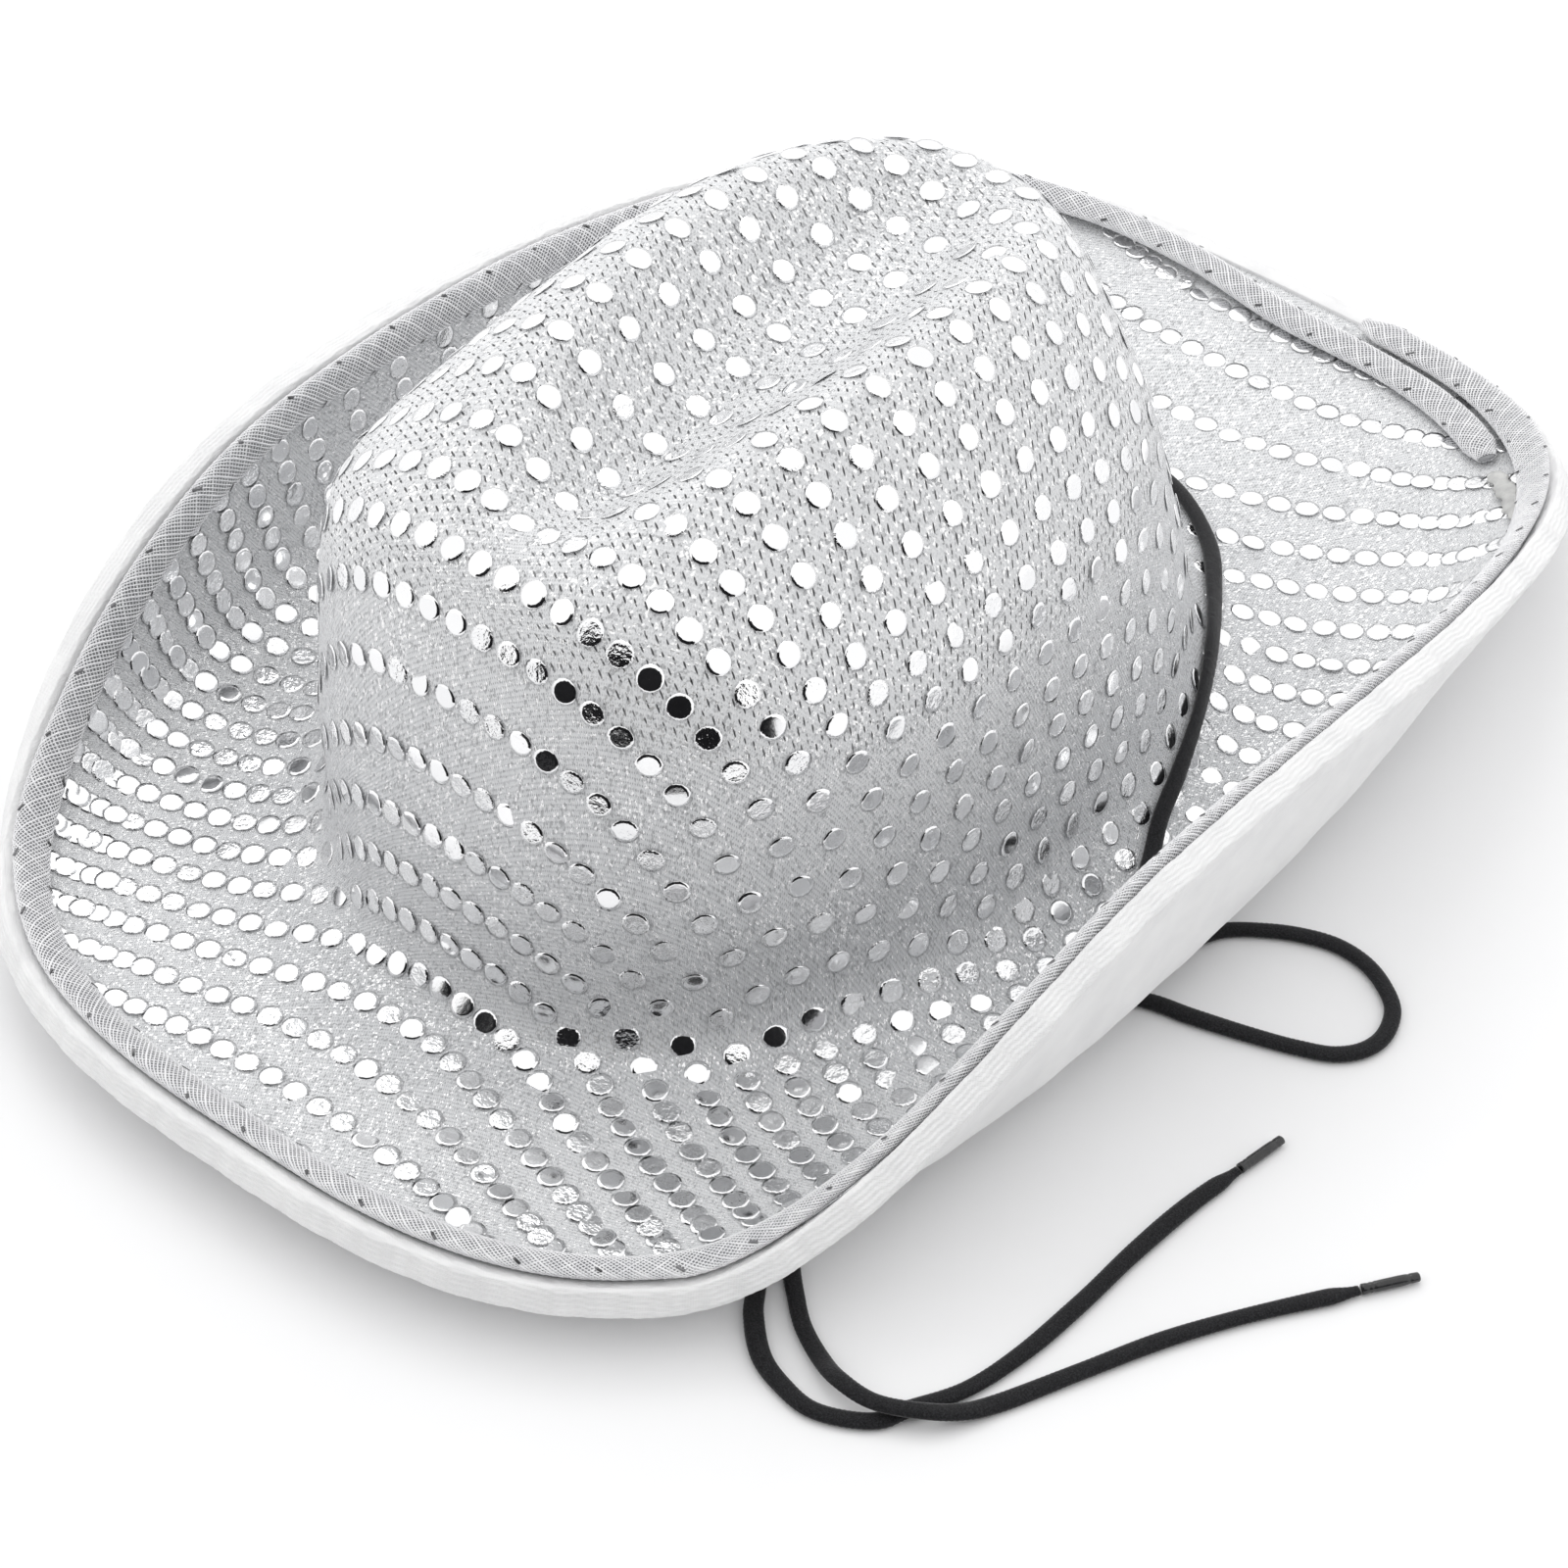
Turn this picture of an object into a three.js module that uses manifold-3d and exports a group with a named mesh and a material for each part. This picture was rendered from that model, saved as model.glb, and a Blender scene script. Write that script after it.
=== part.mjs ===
// A sequinned western party hat with a rolled brim, a wired and trimmed edge and a chin cord.
// Millimetres, +Z up. The front of the hat faces -Y, +X is the wearer's left, Z = 0 is the table.
// The sweatband's lower edge stands on the table and its middle is the middle of the brim.
import * as THREE from 'three';
import { mergeVertices } from 'three/addons/utils/BufferGeometryUtils.js';
import Module from 'manifold-3d';

const wasm = await Module();
wasm.setup();

// Overall sizes of the moulded hat, measured to the cut edge of the brim.
const BRIM_LENGTH = 390;
const BRIM_WIDTH = 250;
const CROWN_HEIGHT = 137;

// The rings below are drawn for a hat of these sizes and stretched to the ones above.
const DRAWN_LENGTH = 390;
const DRAWN_WIDTH = 250;
const DRAWN_HEIGHT = 137;
const ALONG = BRIM_LENGTH / DRAWN_LENGTH;
const ACROSS = BRIM_WIDTH / DRAWN_WIDTH;
const UPWARD = CROWN_HEIGHT / DRAWN_HEIGHT;

// Layers of the moulding, counted inward from the sequinned face.
const AIR = 0.3;
const SKIN_THICK = 0.8;
const FOAM_THICK = 2.4;
const LINING_THICK = 0.6;
const FOAM_TOP = -(SKIN_THICK + AIR);
const LINING_TOP = FOAM_TOP - FOAM_THICK - AIR;
const WALL_BOTTOM = LINING_TOP - LINING_THICK;

// Edge of the brim: wire, binding tape and the soft mesh tube sewn on the upper side.
const WIRE_RADIUS = 0.7;
const WIRE_OUT = 1.9;
const WIRE_END_GAP = 0.6;
const SLEEVE_LENGTH = 12;
const SLEEVE_WALL = 0.35;
const TAPE_THICK = 0.7;
const TAPE_ROOM = WIRE_OUT + WIRE_RADIUS + SLEEVE_WALL + 2 * AIR;
const TUBE_WIDTH = 9.5;
const TUBE_HEIGHT = 4.2;
const TUBE_OUT = -3.6;
const TUBE_SIDE_OUT = 3.2;
const TUBE_START = 172;
const TUBE_END = -214;
const GLUE_WIDTH = 5;
const GLUE_HEIGHT = 1.2;
const GLUE_LIFT = 0.8;

// Sweatband inside the head opening.
const BAND_THICK = 1.2;
const BAND_AIR = 0.4;

// Chin cord, a flat lace, and the eyelets it passes through.
const LACE_WIDTH = 4.2;
const LACE_THICK = 2.2;
const EYELET_ANGLE = 95;
const EYELET_ROW = 6.5;
const BORE = 2.9;
const BARREL = 3.5;
const FLANGE = 5;
const FLANGE_AIR = 1.2;
const WASHER = 5.4;
const AGLET_RADIUS = 1.3;
const AGLET_LENGTH = 13;

// How finely things are drawn.
const STEPS_ROUND = 40;
const LACE_SIDES = 8;
const TUBE_SIDES = 10;

const DEGREE = Math.PI / 180;
const UP = new THREE.Vector3(0, 0, 1);

// Rings of the moulding from the crown's dent out to the brim's edge. Each ring is a rounded oval:
// half width, middle along Y, reach to the front and to the back, squareness front and back,
// height at the sides, at the front and at the back. `level` below 1 lets the front run flat before
// the sides rise, `taper` draws the ring in towards the front.
const RINGS = [
  { side: 12, mid: -21.8, front: 50, back: 54, squareFront: 2.0, squareBack: 2.0,
    zSide: 121.5, zFront: 114.5, zBack: 123, level: 1, taper: 0.25 },
  { side: 34, mid: -23.8, front: 78, back: 80, squareFront: 2.2, squareBack: 2.4,
    zSide: 137, zFront: 120.5, zBack: 127.5, level: 1, taper: 0.1 },
  { side: 70, mid: -25.8, front: 88, back: 96, squareFront: 3.0, squareBack: 2.3,
    zSide: 94.5, zFront: 112, zBack: 96.5, level: 1, taper: 0 },
  { side: 79, mid: -22.8, front: 104, back: 106, squareFront: 2.5, squareBack: 2.3,
    zSide: 52, zFront: 56, zBack: 52, level: 1, taper: 0 },
  { side: 85, mid: -20.8, front: 114, back: 114, squareFront: 2.1, squareBack: 2.3,
    zSide: 18, zFront: 15.5, zBack: 17, level: 1, taper: 0 },
  { side: 97, mid: -25.8, front: 128, back: 142, squareFront: 2.2, squareBack: 2.4,
    zSide: 10.5, zFront: 11.5, zBack: 10.5, level: 1, taper: 0 },
  { side: 115, mid: -31.8, front: 142, back: 186, squareFront: 2.6, squareBack: 2.7,
    zSide: 16.5, zFront: 11.5, zBack: 8.5, level: 0.9, taper: 0 },
  { side: 121.5, mid: -34.8, front: 152, back: 214, squareFront: 2.8, squareBack: 2.9,
    zSide: 38, zFront: 12.5, zBack: 7.6, level: 0.85, taper: 0 },
  { side: 125, mid: -36.1, front: 158.2, back: 231.8, squareFront: 2.9, squareBack: 3.0,
    zSide: 57, zFront: 16, zBack: 6.2, level: 0.8, taper: 0 },
];
const DENT_MIDDLE = new THREE.Vector3(0, -19.8 * ALONG, 117 * UPWARD);
const RIM = RINGS.length;
const RIM_RING = RINGS[RIM - 1];

// Rows on which the moulding's layers are drawn, counted in rings from the dent's middle. The
// binding tape's legs end on a row of their own, so tape and moulding stay parallel.
const ROWS_PER_RING = [1, 3, 2, 2, 3, 3, 2, 2];
const TAPE_ROW = RIM - 0.2;
const LAST_ROWS = [RIM - 0.6, TAPE_ROW, RIM];

const colour = (hex, roughness, metalness = 0) =>
  new THREE.MeshStandardMaterial({ color: hex, roughness, metalness });

function ringPoint(ring, angle) {
  const s = Math.sin(angle);
  const c = Math.cos(angle);
  const isFront = c >= 0;
  const square = isFront ? ring.squareFront : ring.squareBack;
  const size = (Math.abs(s) ** square + Math.abs(c) ** square) ** (1 / square);
  const across = s / size;
  const along = c / size;
  const reach = isFront ? ring.front : ring.back;
  const q = Math.min(Math.abs(along) / (isFront ? ring.level : 1), 1);
  const share = isFront && ring.level < 1 ? 1 - (1 - q * q) ** 1.5 : q * q;
  const zEnd = isFront ? ring.zFront : ring.zBack;
  const x = ring.side * across * (1 - ring.taper * along);
  const y = ring.mid - reach * along;
  const z = ring.zSide + (zEnd - ring.zSide) * share;
  return new THREE.Vector3(x * ACROSS, y * ALONG, z * UPWARD);
}

function hatPoint(angle, row) {
  const points = [DENT_MIDDLE, ...RINGS.map((ring) => ringPoint(ring, angle))];
  const spline = new THREE.CatmullRomCurve3(points, false, 'centripetal');
  return spline.getPoint(row / RIM);
}

// A place on the sequinned face with its normal and the unit direction towards the rim.
function hatFrame(angle, row) {
  const small = 1e-3;
  const before = Math.max(row - small, 0);
  const after = Math.min(row + small, RIM);
  const point = hatPoint(angle, row);
  const step = hatPoint(angle, after).sub(hatPoint(angle, before));
  const speed = step.length() / (after - before);
  const round = hatPoint(angle + small, row).sub(hatPoint(angle - small, row));
  const normal = new THREE.Vector3().crossVectors(step, round).normalize();
  const out = new THREE.Vector3().crossVectors(round, normal).normalize();
  return { point, normal, out, speed };
}

const offPoint = (frame, outward, above) => frame.point.clone()
  .addScaledVector(frame.out, outward)
  .addScaledVector(frame.normal, above);

// A frame a given distance out from the cut edge; negative distances follow the moulding inward.
function edgeFrame(angle, outward) {
  const rim = hatFrame(angle, RIM);
  if (outward < 0) return hatFrame(angle, RIM + outward / rim.speed);
  rim.point.addScaledVector(rim.out, outward);
  return rim;
}

// Angles round the hat spaced evenly along the brim, the same on both sides.
function evenAngles(count) {
  const fine = 720;
  const ring = RINGS[6];
  const lengths = [0];
  for (let i = 1; i <= fine; i += 1) {
    const a = ringPoint(ring, ((i - 1) / fine) * Math.PI);
    const b = ringPoint(ring, (i / fine) * Math.PI);
    lengths.push(lengths[i - 1] + a.distanceTo(b));
  }
  const angles = [];
  for (let k = 0; k <= count / 2; k += 1) {
    const want = (lengths[fine] * k) / (count / 2);
    const at = Math.max(lengths.findIndex((value) => value >= want - 1e-9), 0);
    angles.push((at / fine) * Math.PI);
  }
  for (let k = count / 2 - 1; k > 0; k -= 1) angles.push(2 * Math.PI - angles[k]);
  return angles;
}

const ANGLES = evenAngles(STEPS_ROUND);
const rows = [0];
ROWS_PER_RING.forEach((count, ring) => {
  for (let i = 1; i <= count; i += 1) rows.push(ring + i / count);
});
rows.push(...LAST_ROWS);

// A closed body through loops of points. Its ends are joined to each other or closed by a point.
// From loop `swapAt` on the squares are split along their other diagonal.
function loft(loops, joined, ends = [], swapAt = Infinity) {
  const sides = loops[0].length;
  const flat = loops.flat();
  const triangles = [];
  const last = joined ? loops.length : loops.length - 1;
  for (let i = 0; i < last; i += 1) {
    const here = i * sides;
    const there = ((i + 1) % loops.length) * sides;
    for (let j = 0; j < sides; j += 1) {
      const next = (j + 1) % sides;
      if (i < swapAt) {
        triangles.push(here + j, here + next, there + j);
        triangles.push(here + next, there + next, there + j);
      } else {
        triangles.push(here + j, here + next, there + next);
        triangles.push(here + j, there + next, there + j);
      }
    }
  }
  if (!joined) {
    const middle = (loop) => loop.reduce((sum, p) => sum.add(p), new THREE.Vector3())
      .divideScalar(sides);
    flat.push(ends[0] ?? middle(loops[0]), ends[1] ?? middle(loops.at(-1)));
    const base = (loops.length - 1) * sides;
    for (let j = 0; j < sides; j += 1) {
      const next = (j + 1) % sides;
      triangles.push(flat.length - 2, next, j);
      triangles.push(flat.length - 1, base + j, base + next);
    }
  }
  return solid(flat, triangles);
}

// Geometry from points and triangles, turned so that its faces look outward.
function solid(points, triangles) {
  let volume = 0;
  for (let i = 0; i < triangles.length; i += 3) {
    const [a, b, c] = [points[triangles[i]], points[triangles[i + 1]], points[triangles[i + 2]]];
    volume += a.dot(new THREE.Vector3().crossVectors(b, c));
  }
  const geometry = new THREE.BufferGeometry();
  const order = volume < 0 ? triangles.toReversed() : triangles;
  geometry.setAttribute('position',
    new THREE.Float32BufferAttribute(points.flatMap((p) => p.toArray()), 3));
  geometry.setIndex(order);
  geometry.computeVertexNormals();
  return geometry;
}

function toManifold(geometry) {
  const bare = geometry.clone();
  bare.deleteAttribute('normal');
  bare.deleteAttribute('uv');
  const merged = mergeVertices(bare, 1e-4);
  return new wasm.Manifold(new wasm.Mesh({
    numProp: 3,
    vertProperties: new Float32Array(merged.getAttribute('position').array),
    triVerts: new Uint32Array(merged.getIndex().array),
  }));
}

function fromManifold(manifold) {
  const mesh = manifold.getMesh();
  const geometry = new THREE.BufferGeometry();
  geometry.setAttribute('position', new THREE.BufferAttribute(mesh.vertProperties, 3));
  geometry.setIndex(new THREE.BufferAttribute(mesh.triVerts, 1));
  geometry.computeVertexNormals();
  return geometry;
}

const EYELETS = [EYELET_ANGLE, -EYELET_ANGLE].map((angle) => hatFrame(angle * DEGREE, EYELET_ROW));

// Cuts the two cord holes through a layer.
function punched(geometry) {
  let body = toManifold(geometry);
  EYELETS.forEach((eyelet) => {
    const drill = new THREE.CylinderGeometry(BARREL + AIR, BARREL + AIR, 30, 20);
    drill.applyQuaternion(new THREE.Quaternion().setFromUnitVectors(
      new THREE.Vector3(0, 1, 0), eyelet.normal));
    drill.translate(...eyelet.point.toArray());
    body = body.subtract(toManifold(drill));
  });
  return fromManifold(body);
}

// One layer of the moulding between two depths below the sequinned face.
function layer(top, bottom) {
  const loopAt = (row, depth) => ANGLES.map((angle) => {
    const frame = hatFrame(angle, row);
    return offPoint(frame, 0, depth);
  });
  const inner = rows.slice(1);
  const upper = inner.map((row) => loopAt(row, top));
  const lower = inner.toReversed().map((row) => loopAt(row, bottom));
  const poles = [top, bottom].map((depth) => DENT_MIDDLE.clone().addScaledVector(UP, depth));
  return punched(loft([...upper, ...lower], false, poles, upper.length));
}

// The folded tape that wraps the cut edge, drawn as a U with softened corners.
function bindingTape() {
  const top = AIR;
  const bottom = WALL_BOTTOM - AIR;
  const wall = TAPE_ROOM + TAPE_THICK;
  const soft = 1;
  const folded = [
    [wall - soft, top + TAPE_THICK],
    [wall, top + TAPE_THICK - soft],
    [wall, bottom - TAPE_THICK + soft],
    [wall - soft, bottom - TAPE_THICK],
  ];
  const pocket = [[TAPE_ROOM, bottom], [TAPE_ROOM, top]];
  const loops = ANGLES.map((angle) => {
    const edge = hatFrame(angle, RIM);
    const leg = hatFrame(angle, TAPE_ROW);
    return [
      offPoint(leg, 0, top + TAPE_THICK),
      offPoint(edge, 0, top + TAPE_THICK),
      ...folded.map(([outward, above]) => offPoint(edge, outward, above)),
      offPoint(edge, 0, bottom - TAPE_THICK),
      offPoint(leg, 0, bottom - TAPE_THICK),
      offPoint(leg, 0, bottom),
      offPoint(edge, 0, bottom),
      ...pocket.map(([outward, above]) => offPoint(edge, outward, above)),
      offPoint(edge, 0, top),
      offPoint(leg, 0, top),
    ];
  });
  return loft(loops, true);
}

const oval = (frame, width, height, sides) => {
  const loop = [];
  for (let i = 0; i < sides; i += 1) {
    const turn = (2 * Math.PI * i) / sides;
    loop.push(offPoint(frame, (width / 2) * Math.cos(turn), (height / 2) * Math.sin(turn)));
  }
  return loop;
};

// Angle on the brim's edge, near the middle of the back, that lies a given distance from the middle.
function backAngle(across) {
  const share = across / (RIM_RING.side * ACROSS);
  const square = RIM_RING.squareBack;
  return Math.PI - Math.atan2(share, (1 - share ** square) ** (1 / square));
}

// Centre of the edge wire: halfway through the moulding, just outside its cut edge.
function wireFrame(angle) {
  const frame = edgeFrame(angle, WIRE_OUT);
  frame.point.addScaledVector(frame.normal, WALL_BOTTOM / 2);
  return frame;
}

function edgeWire() {
  const end = backAngle(WIRE_END_GAP / 2);
  const half = ANGLES.filter((angle) => angle > 0 && angle < Math.PI - 1e-6);
  const turns = [-end, ...half.map((angle) => -angle).toReversed(), 0, ...half, end];
  const loops = turns.map((angle) => oval(wireFrame(angle), 2 * WIRE_RADIUS, 2 * WIRE_RADIUS, 8));
  return loft(loops, false);
}

function wireSleeve() {
  const inside = WIRE_RADIUS + AIR;
  const outside = inside + SLEEVE_WALL;
  const half = SLEEVE_LENGTH / 2;
  const outline = [[inside, -half], [outside, -half], [outside, half], [inside, half], [inside, -half]];
  const sleeve = new THREE.LatheGeometry(outline.map(([r, y]) => new THREE.Vector2(r, y)), 16);
  sleeve.rotateZ(-Math.PI / 2);
  sleeve.translate(...wireFrame(Math.PI).point.toArray());
  return sleeve;
}

const smooth = (value) => {
  const q = Math.min(Math.max(value, 0), 1);
  return q * q * (3 - 2 * q);
};

// The soft tube runs once round the edge; its last stretch moves inward and lies beside its start.
const TUBE_SHIFT_FROM = -143;
const TUBE_SHIFT_TO = -185;
function tubeFrame(degrees) {
  const shift = smooth((TUBE_SHIFT_FROM - degrees) / (TUBE_SHIFT_FROM - TUBE_SHIFT_TO));
  const along = TUBE_OUT + TUBE_SIDE_OUT * Math.sin(degrees * DEGREE) ** 2 * (1 - shift);
  const frame = edgeFrame(degrees * DEGREE, along - shift * (TUBE_WIDTH + 1));
  const lowered = smooth((shift - 0.6) / 0.4);
  const seat = 2 * AIR + (TAPE_THICK + AIR) * (1 - lowered) + 0.2;
  frame.point.addScaledVector(frame.normal, seat + TUBE_HEIGHT / 2);
  return frame;
}

function meshTube() {
  const turns = [TUBE_START];
  for (let lap = 0; lap < 2; lap += 1) {
    ANGLES.toReversed().forEach((angle) => {
      const degrees = angle / DEGREE - 360 * lap;
      if (degrees < TUBE_START - 1 && degrees > TUBE_END + 1) turns.push(degrees);
    });
  }
  turns.push(TUBE_END);
  const loops = turns.map((degrees) => oval(tubeFrame(degrees), TUBE_WIDTH, TUBE_HEIGHT, TUBE_SIDES));
  return loft(loops, false);
}

// Smear of hot glue that holds the tube's last end down.
function glueStrip() {
  const loops = [];
  for (let i = 0; i <= 5; i += 0.5) {
    const degrees = TUBE_END - 1.6 - i * 1.8;
    const frame = edgeFrame(degrees * DEGREE, TUBE_OUT - TUBE_WIDTH - 1 + i);
    frame.point.addScaledVector(frame.normal, GLUE_LIFT + GLUE_HEIGHT / 2);
    loops.push(oval(frame, GLUE_WIDTH, GLUE_HEIGHT, 8));
  }
  return loft(loops, false);
}

// A folded band that follows the lining up the wall and ends flat on the table below.
function sweatband() {
  const upperRows = rows.filter((row) => row > 4.2 && row < 5.1);
  const outside = WALL_BOTTOM - BAND_AIR;
  const inside = outside - BAND_THICK;
  const loops = ANGLES.map((angle) => {
    const side = (depth) => upperRows.map((row) => offPoint(hatFrame(angle, row), 0, depth));
    const outer = side(outside);
    const inner = side(inside);
    const outerFoot = outer.at(-1).clone().setZ(0);
    const innerFoot = inner.at(-1).clone().setZ(0);
    return [...outer, outerFoot, innerFoot, ...inner.toReversed()];
  });
  return loft(loops, true);
}

// Eyelet through all layers: flange above, rolled lip below. `washer` sits between lip and lining.
const LIP = BARREL + 0.9;
const WASHER_TOP = WALL_BOTTOM - AIR;
const WASHER_THICK = 0.8;
const EYELET_FOOT = WASHER_TOP - WASHER_THICK - AIR - 0.5;

function turned(outline, eyelet) {
  const points = [...outline, outline[0]].map(([r, y]) => new THREE.Vector2(r, y));
  const ring = new THREE.LatheGeometry(points, 20);
  ring.applyQuaternion(new THREE.Quaternion().setFromUnitVectors(
    new THREE.Vector3(0, 1, 0), eyelet.normal));
  ring.translate(...eyelet.point.toArray());
  return ring;
}

const eyeletBody = (eyelet) => turned([
  [BORE, EYELET_FOOT],
  [LIP, EYELET_FOOT],
  [LIP, EYELET_FOOT + 0.5],
  [BARREL, EYELET_FOOT + 0.5],
  [BARREL, FLANGE_AIR],
  [FLANGE, FLANGE_AIR],
  [FLANGE - 0.5, FLANGE_AIR + 0.6],
  [BORE, FLANGE_AIR + 0.6],
], eyelet);

const eyeletWasher = (eyelet) => turned([
  [BARREL + AIR, WASHER_TOP - WASHER_THICK],
  [WASHER, WASHER_TOP - WASHER_THICK],
  [WASHER, WASHER_TOP],
  [BARREL + AIR, WASHER_TOP],
], eyelet);

// A flat lace along a smooth curve. `flatAt` gives the direction its thin side faces; where it
// gives nothing the lace carries on untwisted from its neighbour.
function lace(points, steps, flatAt) {
  const curve = new THREE.CatmullRomCurve3(points, false, 'centripetal');
  const frames = [];
  for (let i = 0; i <= steps; i += 1) {
    const point = curve.getPointAt(i / steps);
    const tangent = curve.getTangentAt(i / steps);
    frames.push({ point, tangent, flat: flatAt(point, i / steps) });
  }
  const carry = (list) => list.forEach((frame, i) => {
    if (!frame.flat && i > 0) frame.flat = list[i - 1].flat;
    if (!frame.flat) return;
    const along = frame.tangent;
    frame.flat = frame.flat.clone().addScaledVector(along, -frame.flat.dot(along)).normalize();
  });
  carry(frames);
  carry(frames.toReversed());
  const loops = frames.map(({ point, tangent, flat }) => {
    const out = new THREE.Vector3().crossVectors(tangent, flat);
    return oval({ point, out, normal: flat }, LACE_WIDTH, LACE_THICK, LACE_SIDES);
  });
  return loft(loops, false);
}

// The stretch the hat holds: up through one eyelet, round the back of the crown, down the other.
const BAND_HEIGHT = LACE_THICK / 2 + 0.6;
const BAND_HALF = [
  [97, 6.15, 3], [101, 5.75, 2.2], [105.5, 5.42, 1.9], [112, 5.2, 1.8],
  [122, 5, 1.8], [134, 4.98, 1.8], [145, 5.2, 1.8], [155, 5.5, 1.7], [167, 5.72, 1.7],
];
function bandLace() {
  const lay = ([degrees, row, above], side) =>
    offPoint(hatFrame(side * degrees * DEGREE, row), 0, above);
  const dive = (eyelet) => [-2.2, 0.8, 3.2].map((above) => offPoint(eyelet, 0, above));
  const left = [...dive(EYELETS[0]), ...BAND_HALF.map((spot) => lay(spot, 1))];
  const right = [...dive(EYELETS[1]), ...BAND_HALF.map((spot) => lay(spot, -1))];
  const middle = offPoint(hatFrame(Math.PI, 5.78), 0, BAND_HEIGHT);
  const points = [...left, middle, ...right.toReversed()];
  const nearest = (point) => {
    const guess = Math.atan2(point.x / ACROSS, -(point.y / ALONG + 21.5));
    let best = null;
    let least = Infinity;
    for (let turn = -6; turn <= 6; turn += 1) {
      for (let row = 4.7; row < 6.2; row += 0.1) {
        const frame = hatFrame(guess + turn * 2 * DEGREE, row);
        const far = frame.point.distanceTo(point);
        if (far < least) best = frame;
        least = Math.min(least, far);
      }
    }
    return best.normal;
  };
  return lace(points, 64, (point, share) => (share > 0.06 && share < 0.94 ? nearest(point) : null));
}

// The two free ends. Their places on the table are measured from the middle of the hat.
const LOW = LACE_THICK / 2 + 0.2;
const HIGH = LOW + LACE_THICK + 0.5;
const onTable = (spots) => spots.map(([x, y, z = LOW]) =>
  new THREE.Vector3(x * ACROSS, y * ALONG, z));

// The left end makes a loop beside the brim, goes back under it and comes out at the front.
const LEFT_TABLE = [
  [108.6, -11.4, LOW + 1.7], [109.2, -6, LOW + 0.5], [113, 3], [120, 9], [127, 13],
  [135, 15.5], [143, 15], [150, 12], [156, 7], [159, -1],
  [158, -7], [154, -12], [147, -15.5], [137, -19], [123, -23], [114, -25], [106, -29],
  [99, -38], [95, -54], [94, -80], [93, -105], [95, -122],
  [101, -133], [109, -141], [115, -146], [124, -151, LOW + 0.8], [131, -154, HIGH],
  [140, -154, HIGH], [150, -149, HIGH], [155, -143, LOW + 1], [158, -137], [166, -119],
  [174, -101], [183, -85], [197, -64],
];

// The right end goes round the front of the crown under the brim and comes out beside the other.
const RIGHT_TABLE = [
  [-108.8, -17.4, LOW + 1.7], [-108.4, -23, LOW + 0.5], [-104, -38], [-98, -58], [-95, -80],
  [-90, -102], [-78, -123],
  [-60, -140], [-34, -149], [-6, -152], [22, -150], [48, -144], [70, -137], [88, -136],
  [99, -142], [105, -150], [114, -158], [122, -161], [130, -162], [138, -159], [143, -155],
  [145, -150], [151, -138], [154, -123], [155, -104], [155, -86], [156, -67], [158, -53],
];

const laceEyelet = (eyelet) => [EYELET_FOOT + 2, EYELET_FOOT - 1]
  .map((above) => offPoint(eyelet, 0, above));

function tail(eyelet, spots) {
  const points = [...laceEyelet(eyelet), ...onTable(spots)];
  return lace(points, 72, (point) => (point.z < LOW + 3 ? UP : null));
}

// Stiff tip pressed on a lace end: starts just past the lace and points the same way.
function aglet(spots) {
  const [before, end] = onTable(spots.slice(-2));
  const way = end.clone().sub(before).setZ(0).normalize();
  const tip = new THREE.CylinderGeometry(AGLET_RADIUS, AGLET_RADIUS, AGLET_LENGTH, 14);
  tip.applyQuaternion(new THREE.Quaternion().setFromUnitVectors(new THREE.Vector3(0, 1, 0), way));
  const middle = end.addScaledVector(way, AIR + 0.1 + AGLET_LENGTH / 2).setZ(AGLET_RADIUS + 0.1);
  tip.translate(...middle.toArray());
  return tip;
}

const hat = new THREE.Group();
hat.name = 'sequin_western_party_hat';

function add(name, geometry, material) {
  const mesh = new THREE.Mesh(geometry, material);
  mesh.name = name;
  hat.add(mesh);
}

const lacing = () => colour(0x101012, 0.85);
const tipping = () => colour(0x0a0a0b, 0.25);
const plated = () => colour(0xb9bcc2, 0.35, 1);

add('sequin_fabric_skin', layer(0, -SKIN_THICK), colour(0xe6e7ea, 0.35, 0.2));
add('moulded_foam_body', layer(FOAM_TOP, FOAM_TOP - FOAM_THICK), colour(0xf2f2ef, 0.9));
add('moulded_lining_cloth', layer(LINING_TOP, WALL_BOTTOM), colour(0xf4f4f4, 0.85));
add('sweatband', sweatband(), colour(0xededec, 0.8));
add('brim_edge_wire', edgeWire(), colour(0x9a9da2, 0.4, 1));
add('wire_joint_sleeve', wireSleeve(), colour(0xb08d3c, 0.4, 1));
add('edge_binding_tape', bindingTape(), colour(0xf6f6f6, 0.8));
add('mesh_tube_trim', meshTube(), colour(0xf7f7f8, 0.6));
add('trim_end_glue', glueStrip(), colour(0xc9c9c6, 0.3));
add('left_eyelet', eyeletBody(EYELETS[0]), plated());
add('left_eyelet_washer', eyeletWasher(EYELETS[0]), plated());
add('right_eyelet', eyeletBody(EYELETS[1]), plated());
add('right_eyelet_washer', eyeletWasher(EYELETS[1]), plated());
add('chin_cord_band', bandLace(), lacing());
add('chin_cord_left_tail', tail(EYELETS[0], LEFT_TABLE), lacing());
add('chin_cord_right_tail', tail(EYELETS[1], RIGHT_TABLE), lacing());
add('left_aglet', aglet(LEFT_TABLE), tipping());
add('right_aglet', aglet(RIGHT_TABLE), tipping());

export default hat;
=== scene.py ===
# Visual model of a sequinned western party hat with a mesh-trimmed brim and a black chin cord.
# Lengths are in millimetres while shapes are worked out and become metres in the meshes.
import math

import bpy
import numpy as np
from mathutils import Matrix, Vector


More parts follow.
